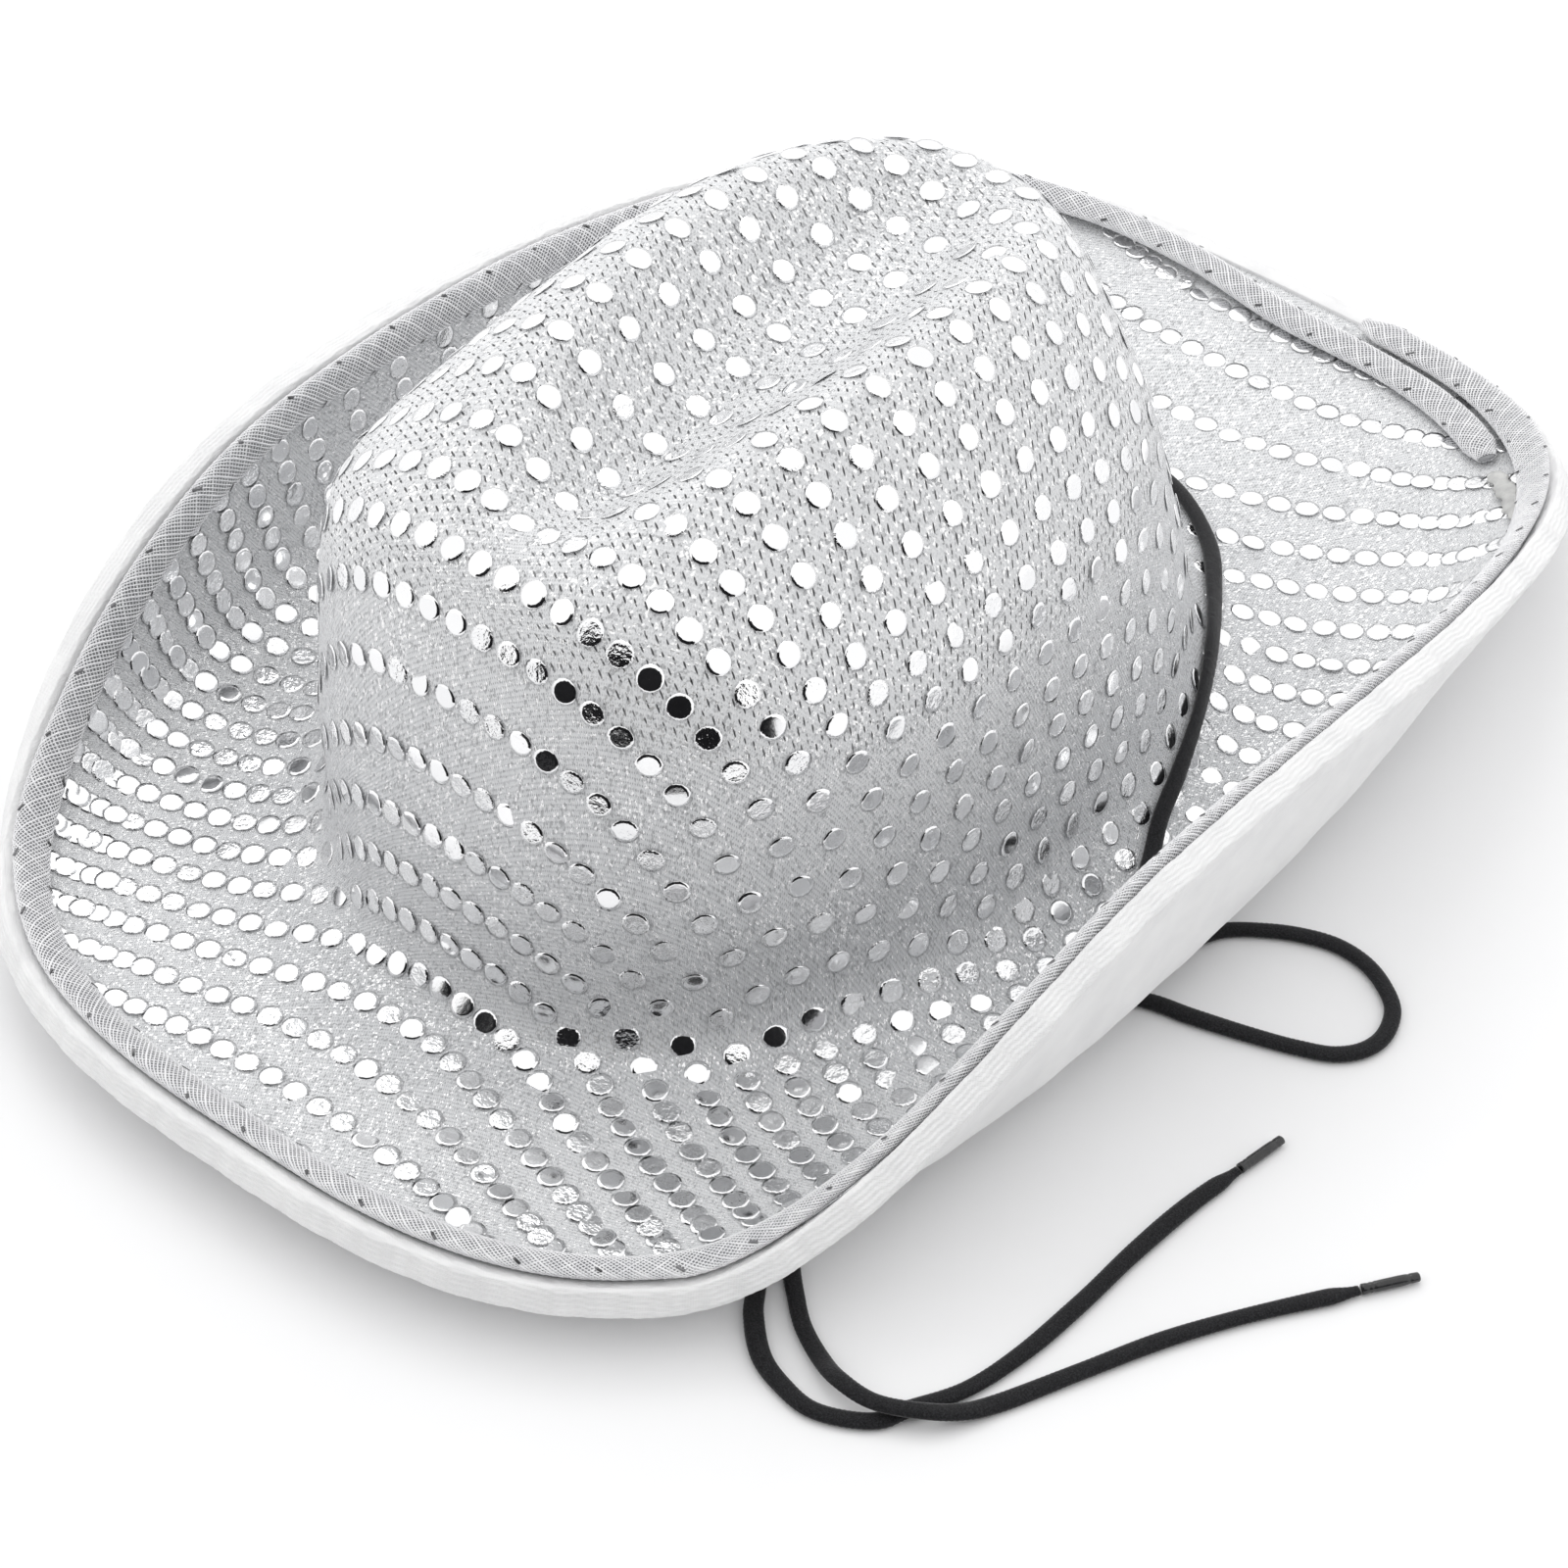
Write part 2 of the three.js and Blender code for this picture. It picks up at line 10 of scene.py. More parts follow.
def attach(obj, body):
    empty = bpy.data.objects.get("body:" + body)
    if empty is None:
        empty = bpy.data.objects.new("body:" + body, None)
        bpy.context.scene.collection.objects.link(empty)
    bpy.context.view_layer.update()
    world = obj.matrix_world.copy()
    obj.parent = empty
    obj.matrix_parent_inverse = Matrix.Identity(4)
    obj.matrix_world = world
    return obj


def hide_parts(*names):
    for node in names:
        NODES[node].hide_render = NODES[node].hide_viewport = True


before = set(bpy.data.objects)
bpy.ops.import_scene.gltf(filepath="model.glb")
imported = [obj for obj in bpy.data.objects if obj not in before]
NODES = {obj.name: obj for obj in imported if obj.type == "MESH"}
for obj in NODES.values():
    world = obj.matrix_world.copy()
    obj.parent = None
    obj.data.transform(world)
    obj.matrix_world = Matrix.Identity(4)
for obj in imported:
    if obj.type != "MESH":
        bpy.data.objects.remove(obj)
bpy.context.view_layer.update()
MM = 0.001
TAU = 2 * math.pi
rng = np.random.default_rng(20)

# ---------------------------------------------------------------- camera

CAMERA_TURN = 40.2
CAMERA_RISE = 43.5
CAMERA_AWAY = 1.172
CAMERA_AIM = (0, -0.0338, 0.0022)


def make_camera():
    turn = math.radians(CAMERA_TURN)
    rise = math.radians(CAMERA_RISE)
    back = Vector((math.sin(turn) * math.cos(rise), -math.cos(turn) * math.cos(rise), math.sin(rise)))
    right = Vector((math.cos(turn), math.sin(turn), 0))
    up = back.cross(right)
    data = bpy.data.cameras.new("camera")
    data.sensor_width = 36
    data.lens = 117.675
    data.shift_x = 0.0356
    data.shift_y = 0.0031
    data.clip_start = 0.05
    data.clip_end = 30
    camera = bpy.data.objects.new("camera", data)
    turned = Matrix((right, up, back)).transposed().to_4x4()
    turned.translation = back * CAMERA_AWAY + Vector(CAMERA_AIM)
    camera.matrix_world = turned
    bpy.context.scene.collection.objects.link(camera)
    bpy.context.scene.camera = camera


make_camera()

# ---------------------------------------------------------------- shape of the moulding

# Half width, middle, front reach, back reach, squareness front and back, height at the sides,
# front and back, level and taper of each ring from the dent out to the rim.
RINGS = [
    (12, -21.8, 50, 54, 2.0, 2.0, 121.5, 114.5, 123, 1, 0.25),
    (34, -23.8, 78, 80, 2.2, 2.4, 137, 120.5, 127.5, 1, 0.1),
    (70, -25.8, 88, 96, 3.0, 2.3, 94.5, 112, 96.5, 1, 0),
    (79, -22.8, 104, 106, 2.5, 2.3, 52, 56, 52, 1, 0),
    (85, -20.8, 114, 114, 2.1, 2.3, 18, 15.5, 17, 1, 0),
    (97, -25.8, 128, 142, 2.2, 2.4, 10.5, 11.5, 10.5, 1, 0),
    (115, -31.8, 142, 186, 2.6, 2.7, 16.5, 11.5, 8.5, 0.9, 0),
    (121.5, -34.8, 152, 214, 2.8, 2.9, 38, 12.5, 7.6, 0.85, 0),
    (125, -36.1, 158.2, 231.8, 2.9, 3.0, 57, 16, 6.2, 0.8, 0),
]
DENT_MIDDLE = np.array([0, -19.8, 117.0])
RIM = 9
# Depths below the sequinned face: the foam's two faces, the lining's face and the sweatband's two.
FOAM_TOP = -1.1
FOAM_BOTTOM = -3.5
WALL_BOTTOM = -4.4
BAND_DEPTHS = (-4.8, -6.0)


def unit(vectors):
    return vectors / np.maximum(np.linalg.norm(vectors, axis=-1, keepdims=True), 1e-12)


def distance_run(points):
    """How far along a line of points each one is."""
    return np.concatenate([[0], np.cumsum(np.linalg.norm(np.diff(points, axis=0), axis=1))])


def squared_turn(s, c, square):
    """Across and along shares of a turn on an oval that is squarer for a higher power."""
    size = (np.abs(s) ** square + np.abs(c) ** square) ** (1 / square)
    return s / size, c / size


def spline(points, at):
    """Centripetal curve through points (K, N, 3) at the N places of `at`, from 0 to K - 1."""
    count = len(points)
    i = np.clip(np.floor(at).astype(int), 0, count - 2)
    w = (at - i)[:, None]
    more = np.concatenate([2 * points[:1] - points[1:2], points, 2 * points[-1:] - points[-2:-1]])
    n = np.arange(len(at))
    p0, p1, p2, p3 = (more[i + k, n] for k in range(4))
    d0, d1, d2 = (np.sqrt(np.linalg.norm(b - a, axis=-1, keepdims=True)) for a, b in
                  ((p0, p1), (p1, p2), (p2, p3)))
    d1 = np.where(d1 < 1e-4, 1, d1)
    d0 = np.where(d0 < 1e-4, d1, d0)
    d2 = np.where(d2 < 1e-4, d1, d2)
    t1 = ((p1 - p0) / d0 - (p2 - p0) / (d0 + d1) + (p2 - p1) / d1) * d1
    t2 = ((p2 - p1) / d1 - (p3 - p1) / (d1 + d2) + (p3 - p2) / d2) * d1
    c2 = -3 * p1 + 3 * p2 - 2 * t1 - t2
    c3 = 2 * p1 - 2 * p2 + t1 + t2
    return p1 + w * (t1 + w * (c2 + w * c3))


def ring_stack(angle):
    """The dent's middle and the nine rings at each angle."""
    s, c = np.sin(angle), np.cos(angle)
    ahead = c >= 0
    stack = [np.broadcast_to(DENT_MIDDLE, (len(angle), 3))]
    for side, mid, front, back, sq_f, sq_b, z_side, z_front, z_back, level, taper in RINGS:
        across, along = squared_turn(s, c, np.where(ahead, sq_f, sq_b))
        q = np.minimum(np.abs(along) / np.where(ahead, level, 1), 1)
        share = np.where(ahead & (level < 1), 1 - np.maximum(1 - q * q, 0) ** 1.5, q * q)
        x = side * across * (1 - taper * along)
        y = mid - np.where(ahead, front, back) * along
        z = z_side + (np.where(ahead, z_front, z_back) - z_side) * share
        stack.append(np.stack([x, y, z], -1))
    return np.array(stack)


def surface(angle, row):
    """Points on the sequinned face: the angle goes round the hat, the row from dent (0) to rim (9)."""
    return spline(ring_stack(angle), row)


def frames(angle, row):
    """Points on the sequinned face, normals, directions towards the rim and millimetres per row."""
    angle, row = np.broadcast_arrays(np.asarray(angle, float), np.asarray(row, float))
    small = 1e-3
    before, after = np.maximum(row - small, 0), np.minimum(row + small, RIM)
    step = surface(angle, after) - surface(angle, before)
    speed = np.linalg.norm(step, axis=-1) / (after - before)
    around = surface(angle + small, row) - surface(angle - small, row)
    normal = unit(np.cross(step, around))
    return surface(angle, row), normal, unit(np.cross(around, normal)), speed


def edge_frames(angle, outward):
    """Frames a given distance out from the cut edge; negative distances follow the moulding."""
    angle, outward = np.broadcast_arrays(np.asarray(angle, float), np.asarray(outward, float))
    speed = frames(angle, np.full(angle.shape, float(RIM)))[3]
    point, normal, out, _ = frames(angle, RIM + np.minimum(outward, 0) / speed)
    return point + out * np.maximum(outward, 0)[:, None], normal, out


def even_angles(count, row=RIM, start=0.0, end=TAU):
    """Angles whose points on the given row are evenly far apart."""
    fine = np.linspace(start, end, 4001)
    points = surface(fine, np.full(fine.shape, float(row)))
    lengths = distance_run(points)
    return np.interp(np.linspace(0, lengths[-1], count), lengths, fine)


# ---------------------------------------------------------------- mesh helpers


def make_piece(name, points, faces, material, slot, uv=None):
    """A smooth mesh object from points in millimetres, riding the one body; its slot is not used."""
    mesh = bpy.data.meshes.new(name)
    mesh.from_pydata((np.asarray(points) * MM).tolist(), [], faces)
    mesh.materials.append(material)
    mesh.polygons.foreach_set("use_smooth", np.ones(len(mesh.polygons), bool))
    corners = np.empty(len(mesh.loops), int)
    mesh.loops.foreach_get("vertex_index", corners)
    for label, values in (uv or {}).items():
        layer = mesh.uv_layers.new(name=label)
        layer.data.foreach_set("uv", np.asarray(values, np.float32)[corners].ravel())
    mesh.update()
    piece = bpy.data.objects.new(name, mesh)
    bpy.context.scene.collection.objects.link(piece)
    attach(piece, "root")
    return piece


def grid_faces(rows, columns, wrap_rows=False, flip=False):
    """Quads of a grid that closes round its columns and, if asked, round its rows."""
    i = np.arange(rows if wrap_rows else rows - 1)[:, None]
    j = np.arange(columns)[None, :]
    a = i * columns + j
    b = i * columns + (j + 1) % columns
    c = ((i + 1) % rows) * columns + (j + 1) % columns
    d = ((i + 1) % rows) * columns + j
    quads = np.stack([a, b, c, d] if not flip else [a, d, c, b], -1).reshape(-1, 4)
    return quads.tolist()


def swept(point, out, normal, profile):
    """Loops (N, M, 3) of a profile (M, 2) or (N, M, 2) carried along N frames."""
    profile = np.asarray(profile, float)
    if profile.ndim == 2:
        profile = np.broadcast_to(profile, (len(point), *profile.shape))
    return (point[:, None] + out[:, None] * profile[..., :1] + normal[:, None] * profile[..., 1:])


def tube_parts(loops):
    """Points and faces of a closed tube with flat fans over its two ends."""
    rows, sides = loops.shape[:2]
    points = np.concatenate([loops.reshape(-1, 3), loops[:1].mean(1), loops[-1:].mean(1)])
    faces = grid_faces(rows, sides)
    base = (rows - 1) * sides
    for j in range(sides):
        nxt = (j + 1) % sides
        faces.append([nxt, j, rows * sides])
        faces.append([base + j, base + nxt, rows * sides + 1])
    return points, faces


def oval(width, height, sides, power=2.0):
    """Outline of an oval; a power above two makes it squarer."""
    turn = np.linspace(0, TAU, sides, endpoint=False)
    c, s = np.cos(turn), np.sin(turn)
    share = (np.abs(c) ** power + np.abs(s) ** power) ** (-1 / power)
    return np.stack([c * share * width / 2, s * share * height / 2], -1)


def smooth_step(value, low=0.0, high=1.0):
    q = np.clip((value - low) / (high - low), 0, 1)
    return q * q * (3 - 2 * q)


# ---------------------------------------------------------------- material helpers


class Shader:
    """Small helper that writes node trees."""

    def __init__(self, name, **settings):
        self.material = bpy.data.materials.new(name)
        self.material.use_nodes = True
        self.tree = self.material.node_tree
        self.surface = self.tree.nodes["Principled BSDF"]
        for key, value in settings.items():
            self.set(key, value)

    def set(self, key, value):
        socket = self.surface.inputs[key.replace("_", " ")]
        if hasattr(value, "links"):
            self.tree.links.new(value, socket)
        elif isinstance(value, tuple):
            socket.default_value = (*value, 1)
        else:
            socket.default_value = value

    def node(self, kind, **values):
        made = self.tree.nodes.new(kind)
        for key, value in values.items():
            setattr(made, key, value)
        return made

    def feed(self, socket, value):
        if hasattr(value, "links"):
            self.tree.links.new(value, socket)
        elif isinstance(value, tuple):
            socket.default_value = (*value, 1) if len(socket.default_value) == 4 else value
        else:
            socket.default_value = value

    def math(self, operation, a, b=0.0, c=0.0, clamp=False):
        made = self.node("ShaderNodeMath", operation=operation, use_clamp=clamp)
        for socket, value in zip(made.inputs, (a, b, c)):
            self.feed(socket, value)
        return made.outputs[0]

    def ramp(self, value, low, high, out_low=0.0, out_high=1.0):
        made = self.node("ShaderNodeMapRange", interpolation_type="SMOOTHSTEP", clamp=True)
        for socket, number in zip(made.inputs, (value, low, high, out_low, out_high)):
            self.feed(socket, number)
        return made.outputs[0]

    def mix(self, share, a, b):
        made = self.node("ShaderNodeMix", data_type="RGBA")
        self.feed(made.inputs[0], share)
        self.feed(made.inputs[6], a)
        self.feed(made.inputs[7], b)
        return made.outputs[2]

    def uv(self, label):
        made = self.node("ShaderNodeUVMap", uv_map=label)
        parts = self.node("ShaderNodeSeparateXYZ")
        self.tree.links.new(made.outputs[0], parts.inputs[0])
        return made.outputs[0], parts.outputs[0], parts.outputs[1]

    def place(self):
        return self.node("ShaderNodeTexCoord").outputs["Object"]

    def noise(self, where, scale, detail=2.0, rough=0.5):
        made = self.node("ShaderNodeTexNoise")
        self.feed(made.inputs["Vector"], where)
        made.inputs["Scale"].default_value = scale
        made.inputs["Detail"].default_value = detail
        made.inputs["Roughness"].default_value = rough
        return made.outputs[0]

    def cells(self, where, scale):
        made = self.node("ShaderNodeTexVoronoi")
        self.feed(made.inputs["Vector"], where)
        made.inputs["Scale"].default_value = scale
        parts = self.node("ShaderNodeSeparateColor")
        self.tree.links.new(made.outputs["Color"], parts.inputs[0])
        return made.outputs["Distance"], parts.outputs[0], parts.outputs[1]

    def bump(self, height, strength, distance):
        made = self.node("ShaderNodeBump")
        self.feed(made.inputs["Height"], height)
        self.feed(made.inputs["Strength"], strength)
        made.inputs["Distance"].default_value = distance
        self.tree.links.new(made.outputs[0], self.surface.inputs["Normal"])


def knit_material():
    """Silver-white knit: glitter specks, fine stitches and slits that open where it is stretched, with
    painted shade that darkens the lower crown wall.
    """
    s = Shader("sequin_knit_cloth", Metallic=0.0, Roughness=0.5, Specular_IOR_Level=0.35)
    cloth, x, y = s.uv("cloth")
    # The second channel marks the lower crown wall, where the knit gets painted shade.
    _, stretch, low = s.uv("stretch_and_wall_shade")
    drift = s.math("SUBTRACT", s.noise(cloth, 0.35, 1), 0.5)
    x = s.math("ADD", x, s.math("MULTIPLY", drift, 0.5))
    along = s.math("ADD", s.math("MULTIPLY", x, 0.9), s.math("MULTIPLY", y, -0.43))
    aside = s.math("ADD", s.math("MULTIPLY", x, 0.43), s.math("MULTIPLY", y, 0.9))
    lane = s.math("DIVIDE", aside, 1.45)
    shift = s.math("MULTIPLY", s.math("FLOOR", lane), 0.5)
    cell = s.math("FRACT", s.math("ADD", s.math("DIVIDE", along, 2.9), shift))
    long_way = s.math("MULTIPLY", s.math("SUBTRACT", cell, 0.5), 2.9 / 0.8)
    short_way = s.math("MULTIPLY", s.math("SUBTRACT", s.math("FRACT", lane), 0.5), 1.45 / 0.17)
    far = s.math("SQRT", s.math("ADD", s.math("MULTIPLY", long_way, long_way),
                                s.math("MULTIPLY", short_way, short_way)))
    slit = s.math("MULTIPLY", s.ramp(far, 1.2, 0.75), s.ramp(stretch, 0.2, 0.6))
    some = s.ramp(s.noise(cloth, 0.9, 1), 0.36, 0.5)
    slit = s.math("MULTIPLY", slit, some)
    wave_x = s.math("SINE", s.math("MULTIPLY", x, TAU / 0.95))
    wave_y = s.math("SINE", s.math("ADD", s.math("MULTIPLY", y, TAU / 0.8),
                                   s.math("MULTIPLY", x, TAU / 1.9)))
    stitch = s.math("MULTIPLY", wave_x, wave_y)
    gap = s.math("MULTIPLY", s.ramp(stitch, 0.35, 0.9), s.ramp(stretch, 0.9, 0.2, 0.25, 1.0))
    _, speck, tone = s.cells(cloth, 2.3)
    bright = s.ramp(speck, 0.86, 0.9)
    dark = s.ramp(tone, 0.2, 0.1)
    base = s.mix(s.ramp(s.noise(cloth, 1.7, 4, 0.7), 0.3, 0.7), (0.7, 0.71, 0.725), (0.84, 0.845, 0.855))
    # Painted shade: the knit is darkened towards grey over the lower crown wall and its foot.
    base = s.mix(s.math("MULTIPLY", low, 0.4), base, (0.6, 0.61, 0.63))
    base = s.mix(s.math("MULTIPLY", gap, 0.72), base, (0.26, 0.265, 0.275))
    base = s.mix(s.math("MULTIPLY", dark, 0.6), base, (0.3, 0.305, 0.315))
    base = s.mix(bright, base, (1.0, 1.0, 1.0))
    base = s.mix(s.math("MULTIPLY", slit, 0.94), base, (0.03, 0.03, 0.033))
    s.set("Base Color", base)
    s.set("Metallic", s.math("MULTIPLY", bright, 0.55))
    s.set("Roughness", s.ramp(speck, 0.8, 0.9, 0.55, 0.22))
    height = s.math("SUBTRACT", s.math("MULTIPLY", stitch, -0.35), s.math("MULTIPLY", slit, 1.3))
    height = s.math("ADD", height, s.math("MULTIPLY", speck, 0.3))
    s.bump(height, 0.55, 0.00022)
    return s.material


def sequin_material():
    """Thin mirror foil, each disc with its own amount of crinkle."""
    s = Shader("foil_sequin", Metallic=1.0, Roughness=0.08)
    _, shade, crinkle = s.uv("disc")
    where = s.place()
    fold = s.noise(where, 420, 3, 0.6)
    ripple = s.noise(where, 1500, 2, 0.5)
    s.set("Base Color", s.mix(shade, (0.86, 0.865, 0.875), (0.97, 0.97, 0.975)))
    s.set("Roughness", s.math("ADD", 0.05, s.math("MULTIPLY", ripple, 0.1)))
    height = s.math("ADD", fold, s.math("MULTIPLY", ripple, 0.25))
    s.bump(height, s.math("MULTIPLY", crinkle, 0.9, clamp=True), 0.0007)
    return s.material


def cloth_material(name, light, shade, thread, rough=0.8, wrinkle=0.3):
    """Plain woven cloth with a thread of the given size in millimetres."""
    s = Shader(name, Roughness=rough, Sheen_Weight=0.15, Specular_IOR_Level=0.25)
    where = s.place()
    parts = s.node("ShaderNodeSeparateXYZ")
    s.tree.links.new(where, parts.inputs[0])
    waves = [s.math("SINE", s.math("MULTIPLY", axis, TAU / (thread * MM))) for axis in parts.outputs[:3]]
    weave = s.math("ADD", s.math("MULTIPLY", waves[0], waves[1]), s.math("MULTIPLY", waves[2], 0.5))
    mottle = s.noise(where, 90, 4, 0.6)
    base = s.mix(s.ramp(mottle, 0.3, 0.7), shade, light)
    base = s.mix(s.ramp(weave, 0.2, 1.2, 0.0, 0.25), base, tuple(0.7 * v for v in shade))
    s.set("Base Color", base)
    height = s.math("ADD", s.math("MULTIPLY", weave, 0.35), s.math("MULTIPLY", mottle, wrinkle))
    s.bump(height, 0.5, 0.00015)
    return s.material


def thread_material(name, light, shade, rough=0.25):
    """Glossy plastic thread whose tone changes a little along its length."""
    s = Shader(name, Roughness=rough, Specular_IOR_Level=0.6)
    where = s.place()
    tone = s.noise(where, 260, 3, 0.6)
    s.set("Base Color", s.mix(s.ramp(tone, 0.3, 0.7), shade, light))
    s.bump(s.noise(where, 4200, 2), 0.3, 0.00005)
    return s.material


def lace_material():
    s = Shader("black_braid", Roughness=0.85, Sheen_Weight=0.35, Specular_IOR_Level=0.2)
    s.surface.inputs["Sheen Roughness"].default_value = 0.4
    where = s.place()
    fuzz = s.noise(where, 2600, 4, 0.7)
    s.set("Base Color", s.mix(s.ramp(fuzz, 0.35, 0.75), (0.006, 0.006, 0.007), (0.035, 0.035, 0.038)))
    s.bump(fuzz, 0.6, 0.0002)
    return s.material


def metal_material(name, tint, rough, brush):
    s = Shader(name, Metallic=1.0, Roughness=rough)
    where = s.place()
    worn = s.noise(where, brush, 5, 0.65)
    s.set("Base Color", s.mix(s.ramp(worn, 0.25, 0.75), tuple(0.72 * v for v in tint), tint))
    s.set("Roughness", s.ramp(worn, 0.2, 0.8, rough * 0.7, rough * 1.5))
    s.bump(worn, 0.25, 0.00006)
    return s.material


def plastic_material(name, light, shade, rough, scale):
    s = Shader(name, Roughness=rough, Coat_Weight=0.3)
    s.surface.inputs["Coat Roughness"].default_value = 0.1
    where = s.place()
    marks = s.noise(where, scale, 5, 0.6)
    s.set("Base Color", s.mix(s.ramp(marks, 0.3, 0.7), shade, light))
    s.set("Roughness", s.ramp(marks, 0.2, 0.8, rough * 0.7, rough * 1.4))
    s.bump(marks, 0.3, 0.0002)
    return s.material


def glue_material():
    s = Shader("hot_glue", Roughness=0.3, Specular_IOR_Level=0.5, Transmission_Weight=0.35)
    where = s.place()
    cloud = s.noise(where, 300, 3, 0.6)
    s.set("Base Color", s.mix(s.ramp(cloud, 0.3, 0.7), (0.62, 0.62, 0.61), (0.84, 0.84, 0.82)))
    s.bump(cloud, 0.5, 0.0006)
    return s.material


KNIT = knit_material()
FOIL = sequin_material()
TAPE = cloth_material("woven_binding", (0.93, 0.93, 0.93), (0.86, 0.86, 0.865), 0.45, 0.75)
LINING = cloth_material("backing_cloth", (0.93, 0.93, 0.93), (0.88, 0.88, 0.885), 0.35, 0.85)
BAND = cloth_material("sweatband_cotton", (0.88, 0.87, 0.85), (0.78, 0.77, 0.75), 0.7, 0.9)
MONOFIL = thread_material("mesh_thread", (0.97, 0.97, 0.98), (0.84, 0.84, 0.86))
# Painted shade: a grey core that stands for the shade seen inside the mesh tube.
TUBE_INSIDE_SHADE = cloth_material("tube_inside_painted_shade", (0.58, 0.585, 0.6), (0.42, 0.425, 0.44), 0.6, 0.6)
FLECK = plastic_material("dark_fleck", (0.25, 0.25, 0.26), (0.02, 0.02, 0.022), 0.2, 420)
LACE = lace_material()
AGLET = plastic_material("aglet_black", (0.02, 0.02, 0.021), (0.008, 0.008, 0.009), 0.22, 500)
FOAM = plastic_material("moulded_foam", (0.92, 0.92, 0.9), (0.84, 0.84, 0.82), 0.8, 700)
STEEL = metal_material("wire_steel", (0.6, 0.61, 0.63), 0.35, 1200)
BRASS = metal_material("sleeve_brass", (0.72, 0.58, 0.3), 0.35, 900)
NICKEL = metal_material("eyelet_nickel", (0.8, 0.81, 0.83), 0.2, 600)
GLUE = glue_material()

# ---------------------------------------------------------------- chin cord

# Heights of the lace's middle: lying on the table, and crossing over itself.
LOW = 1.3
HIGH = 4.0
LEFT_TABLE = [
    (108.6, -11.4, LOW + 1.7), (109.2, -6, LOW + 0.5), (113, 3), (120, 9), (127, 13), (135, 15.5),
    (143, 15), (150, 12), (156, 7), (159, -1), (158, -7), (154, -12), (147, -15.5), (137, -19),
    (123, -23), (114, -25), (106, -29), (99, -38), (95, -54), (94, -80), (93, -105), (95, -122),
    (101, -133), (109, -141), (115, -146), (124, -151, LOW + 0.8), (131, -154, HIGH),
    (140, -154, HIGH), (150, -149, HIGH), (155, -143, LOW + 1), (158, -137), (166, -119),
    (174, -101), (183, -85), (197, -64),
]
RIGHT_TABLE = [
    (-108.8, -17.4, LOW + 1.7), (-108.4, -23, LOW + 0.5), (-104, -38), (-98, -58), (-95, -80),
    (-90, -102), (-78, -123), (-60, -140), (-34, -149), (-6, -152), (22, -150), (48, -144),
    (70, -137), (88, -136), (99, -142), (105, -150), (114, -158), (122, -161), (130, -162),
    (138, -159), (143, -155), (145, -150), (151, -138), (154, -123), (155, -104), (155, -86),
    (156, -67), (158, -53),
]
BAND_HALF = [
    (97, 6.15, 3), (101, 5.75, 2.2), (105.5, 5.42, 1.9), (112, 5.2, 1.8), (122, 5, 1.8),
    (134, 4.98, 1.8), (145, 5.2, 1.8), (155, 5.5, 1.7), (167, 5.72, 1.7),
]
EYELET_ANGLE = 95.0
EYELET_ROW = 6.5
EYELET_POINT, EYELET_NORMAL, EYELET_OUT, _ = frames(
    np.radians([EYELET_ANGLE, -EYELET_ANGLE]), np.full(2, EYELET_ROW))
AGLET_LENGTH = 13.0
AGLET_RADIUS = 1.2
AGLET_HEIGHT = 1.4
LACE_WIDTH = 4.2
LACE_THICK = 2.2
LACE_STEP = 0.55
BRAID_LEAD = 2.1
BRAID_STRANDS = 6
CLIMB = 3
BAND_LIFT = 1.7


def even_path(knots, spacing):
    """Evenly spaced points on the smooth curve through the knots."""
    knots = np.asarray(knots, float)
    at = np.linspace(0, len(knots) - 1, 60 * len(knots))
    fine = spline(np.repeat(knots[:, None], len(at), 1), at)
    lengths = distance_run(fine)
    want = np.linspace(0, lengths[-1], int(lengths[-1] / spacing) + 1)
    return np.stack([np.interp(want, lengths, fine[:, k]) for k in range(3)], -1), want


def carried(way, flat, known):
    """The flat direction at each point; where it isn't known it is carried from a neighbour."""
    flat = flat.copy()
    order = list(range(len(way)))
    for seq in (order, order[::-1]):
        last = None
        for i in seq:
            if not known[i]:
                if last is None:
                    continue
                flat[i] = flat[last]
                known[i] = True
            flat[i] -= way[i] * np.dot(flat[i], way[i])
            flat[i] /= max(np.linalg.norm(flat[i]), 1e-9)
            last = i
    return flat


def braid_loops(path, lengths, flat, known, narrow_end):
    """A flattened tubular braid: an oval section with crossing strands raised on its surface."""
    way = unit(np.gradient(path, axis=0))
    flat = carried(way, flat, known)
    out = unit(np.cross(way, flat))
    sides = 30
    section = oval(LACE_WIDTH, LACE_THICK, sides, 2.3)
    turn = np.arange(sides) / sides
    s = lengths[:, None]
    left = s / BRAID_LEAD + turn * BRAID_STRANDS
    right = s / BRAID_LEAD - turn * BRAID_STRANDS
    relief = 0.085 * np.cos(TAU * left) * np.cos(TAU * right)
    slack = 1 + 0.05 * np.sin(s / 17 + 1) + 0.035 * np.sin(s / 6.3) - 0.03
    if narrow_end:
        slack = slack * (1 - 0.42 * smooth_step(s, lengths[-1] - 7, lengths[-1] - 0.5))
    profile = section[None] * slack[..., None]
    profile = profile + unit(section)[None] * relief[..., None]
    return swept(path, out, flat, profile)


def cord_tail(name, side, table, node, aglet_node):
    """One free end of the lace, from under its eyelet to its tip on the table."""
    eyelet, normal = EYELET_POINT[side], EYELET_NORMAL[side]
    spots = [(*spot, LOW)[:3] if len(spot) == 2 else spot for spot in table]
    knots = [eyelet - normal * 2.6, eyelet - normal * 7.3, *spots]
    path, lengths = even_path(knots, LACE_STEP)
    flat = np.tile([0.0, 0.0, 1.0], (len(path), 1))
    known = path[:, 2] < LOW + CLIMB
    points, faces = tube_parts(braid_loops(path, lengths, flat, known, True))
    piece = make_piece(name, points, faces, LACE, "lace")
    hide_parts(node)
    tip = aglet_piece(aglet_node + "_tip", spots, aglet_node)


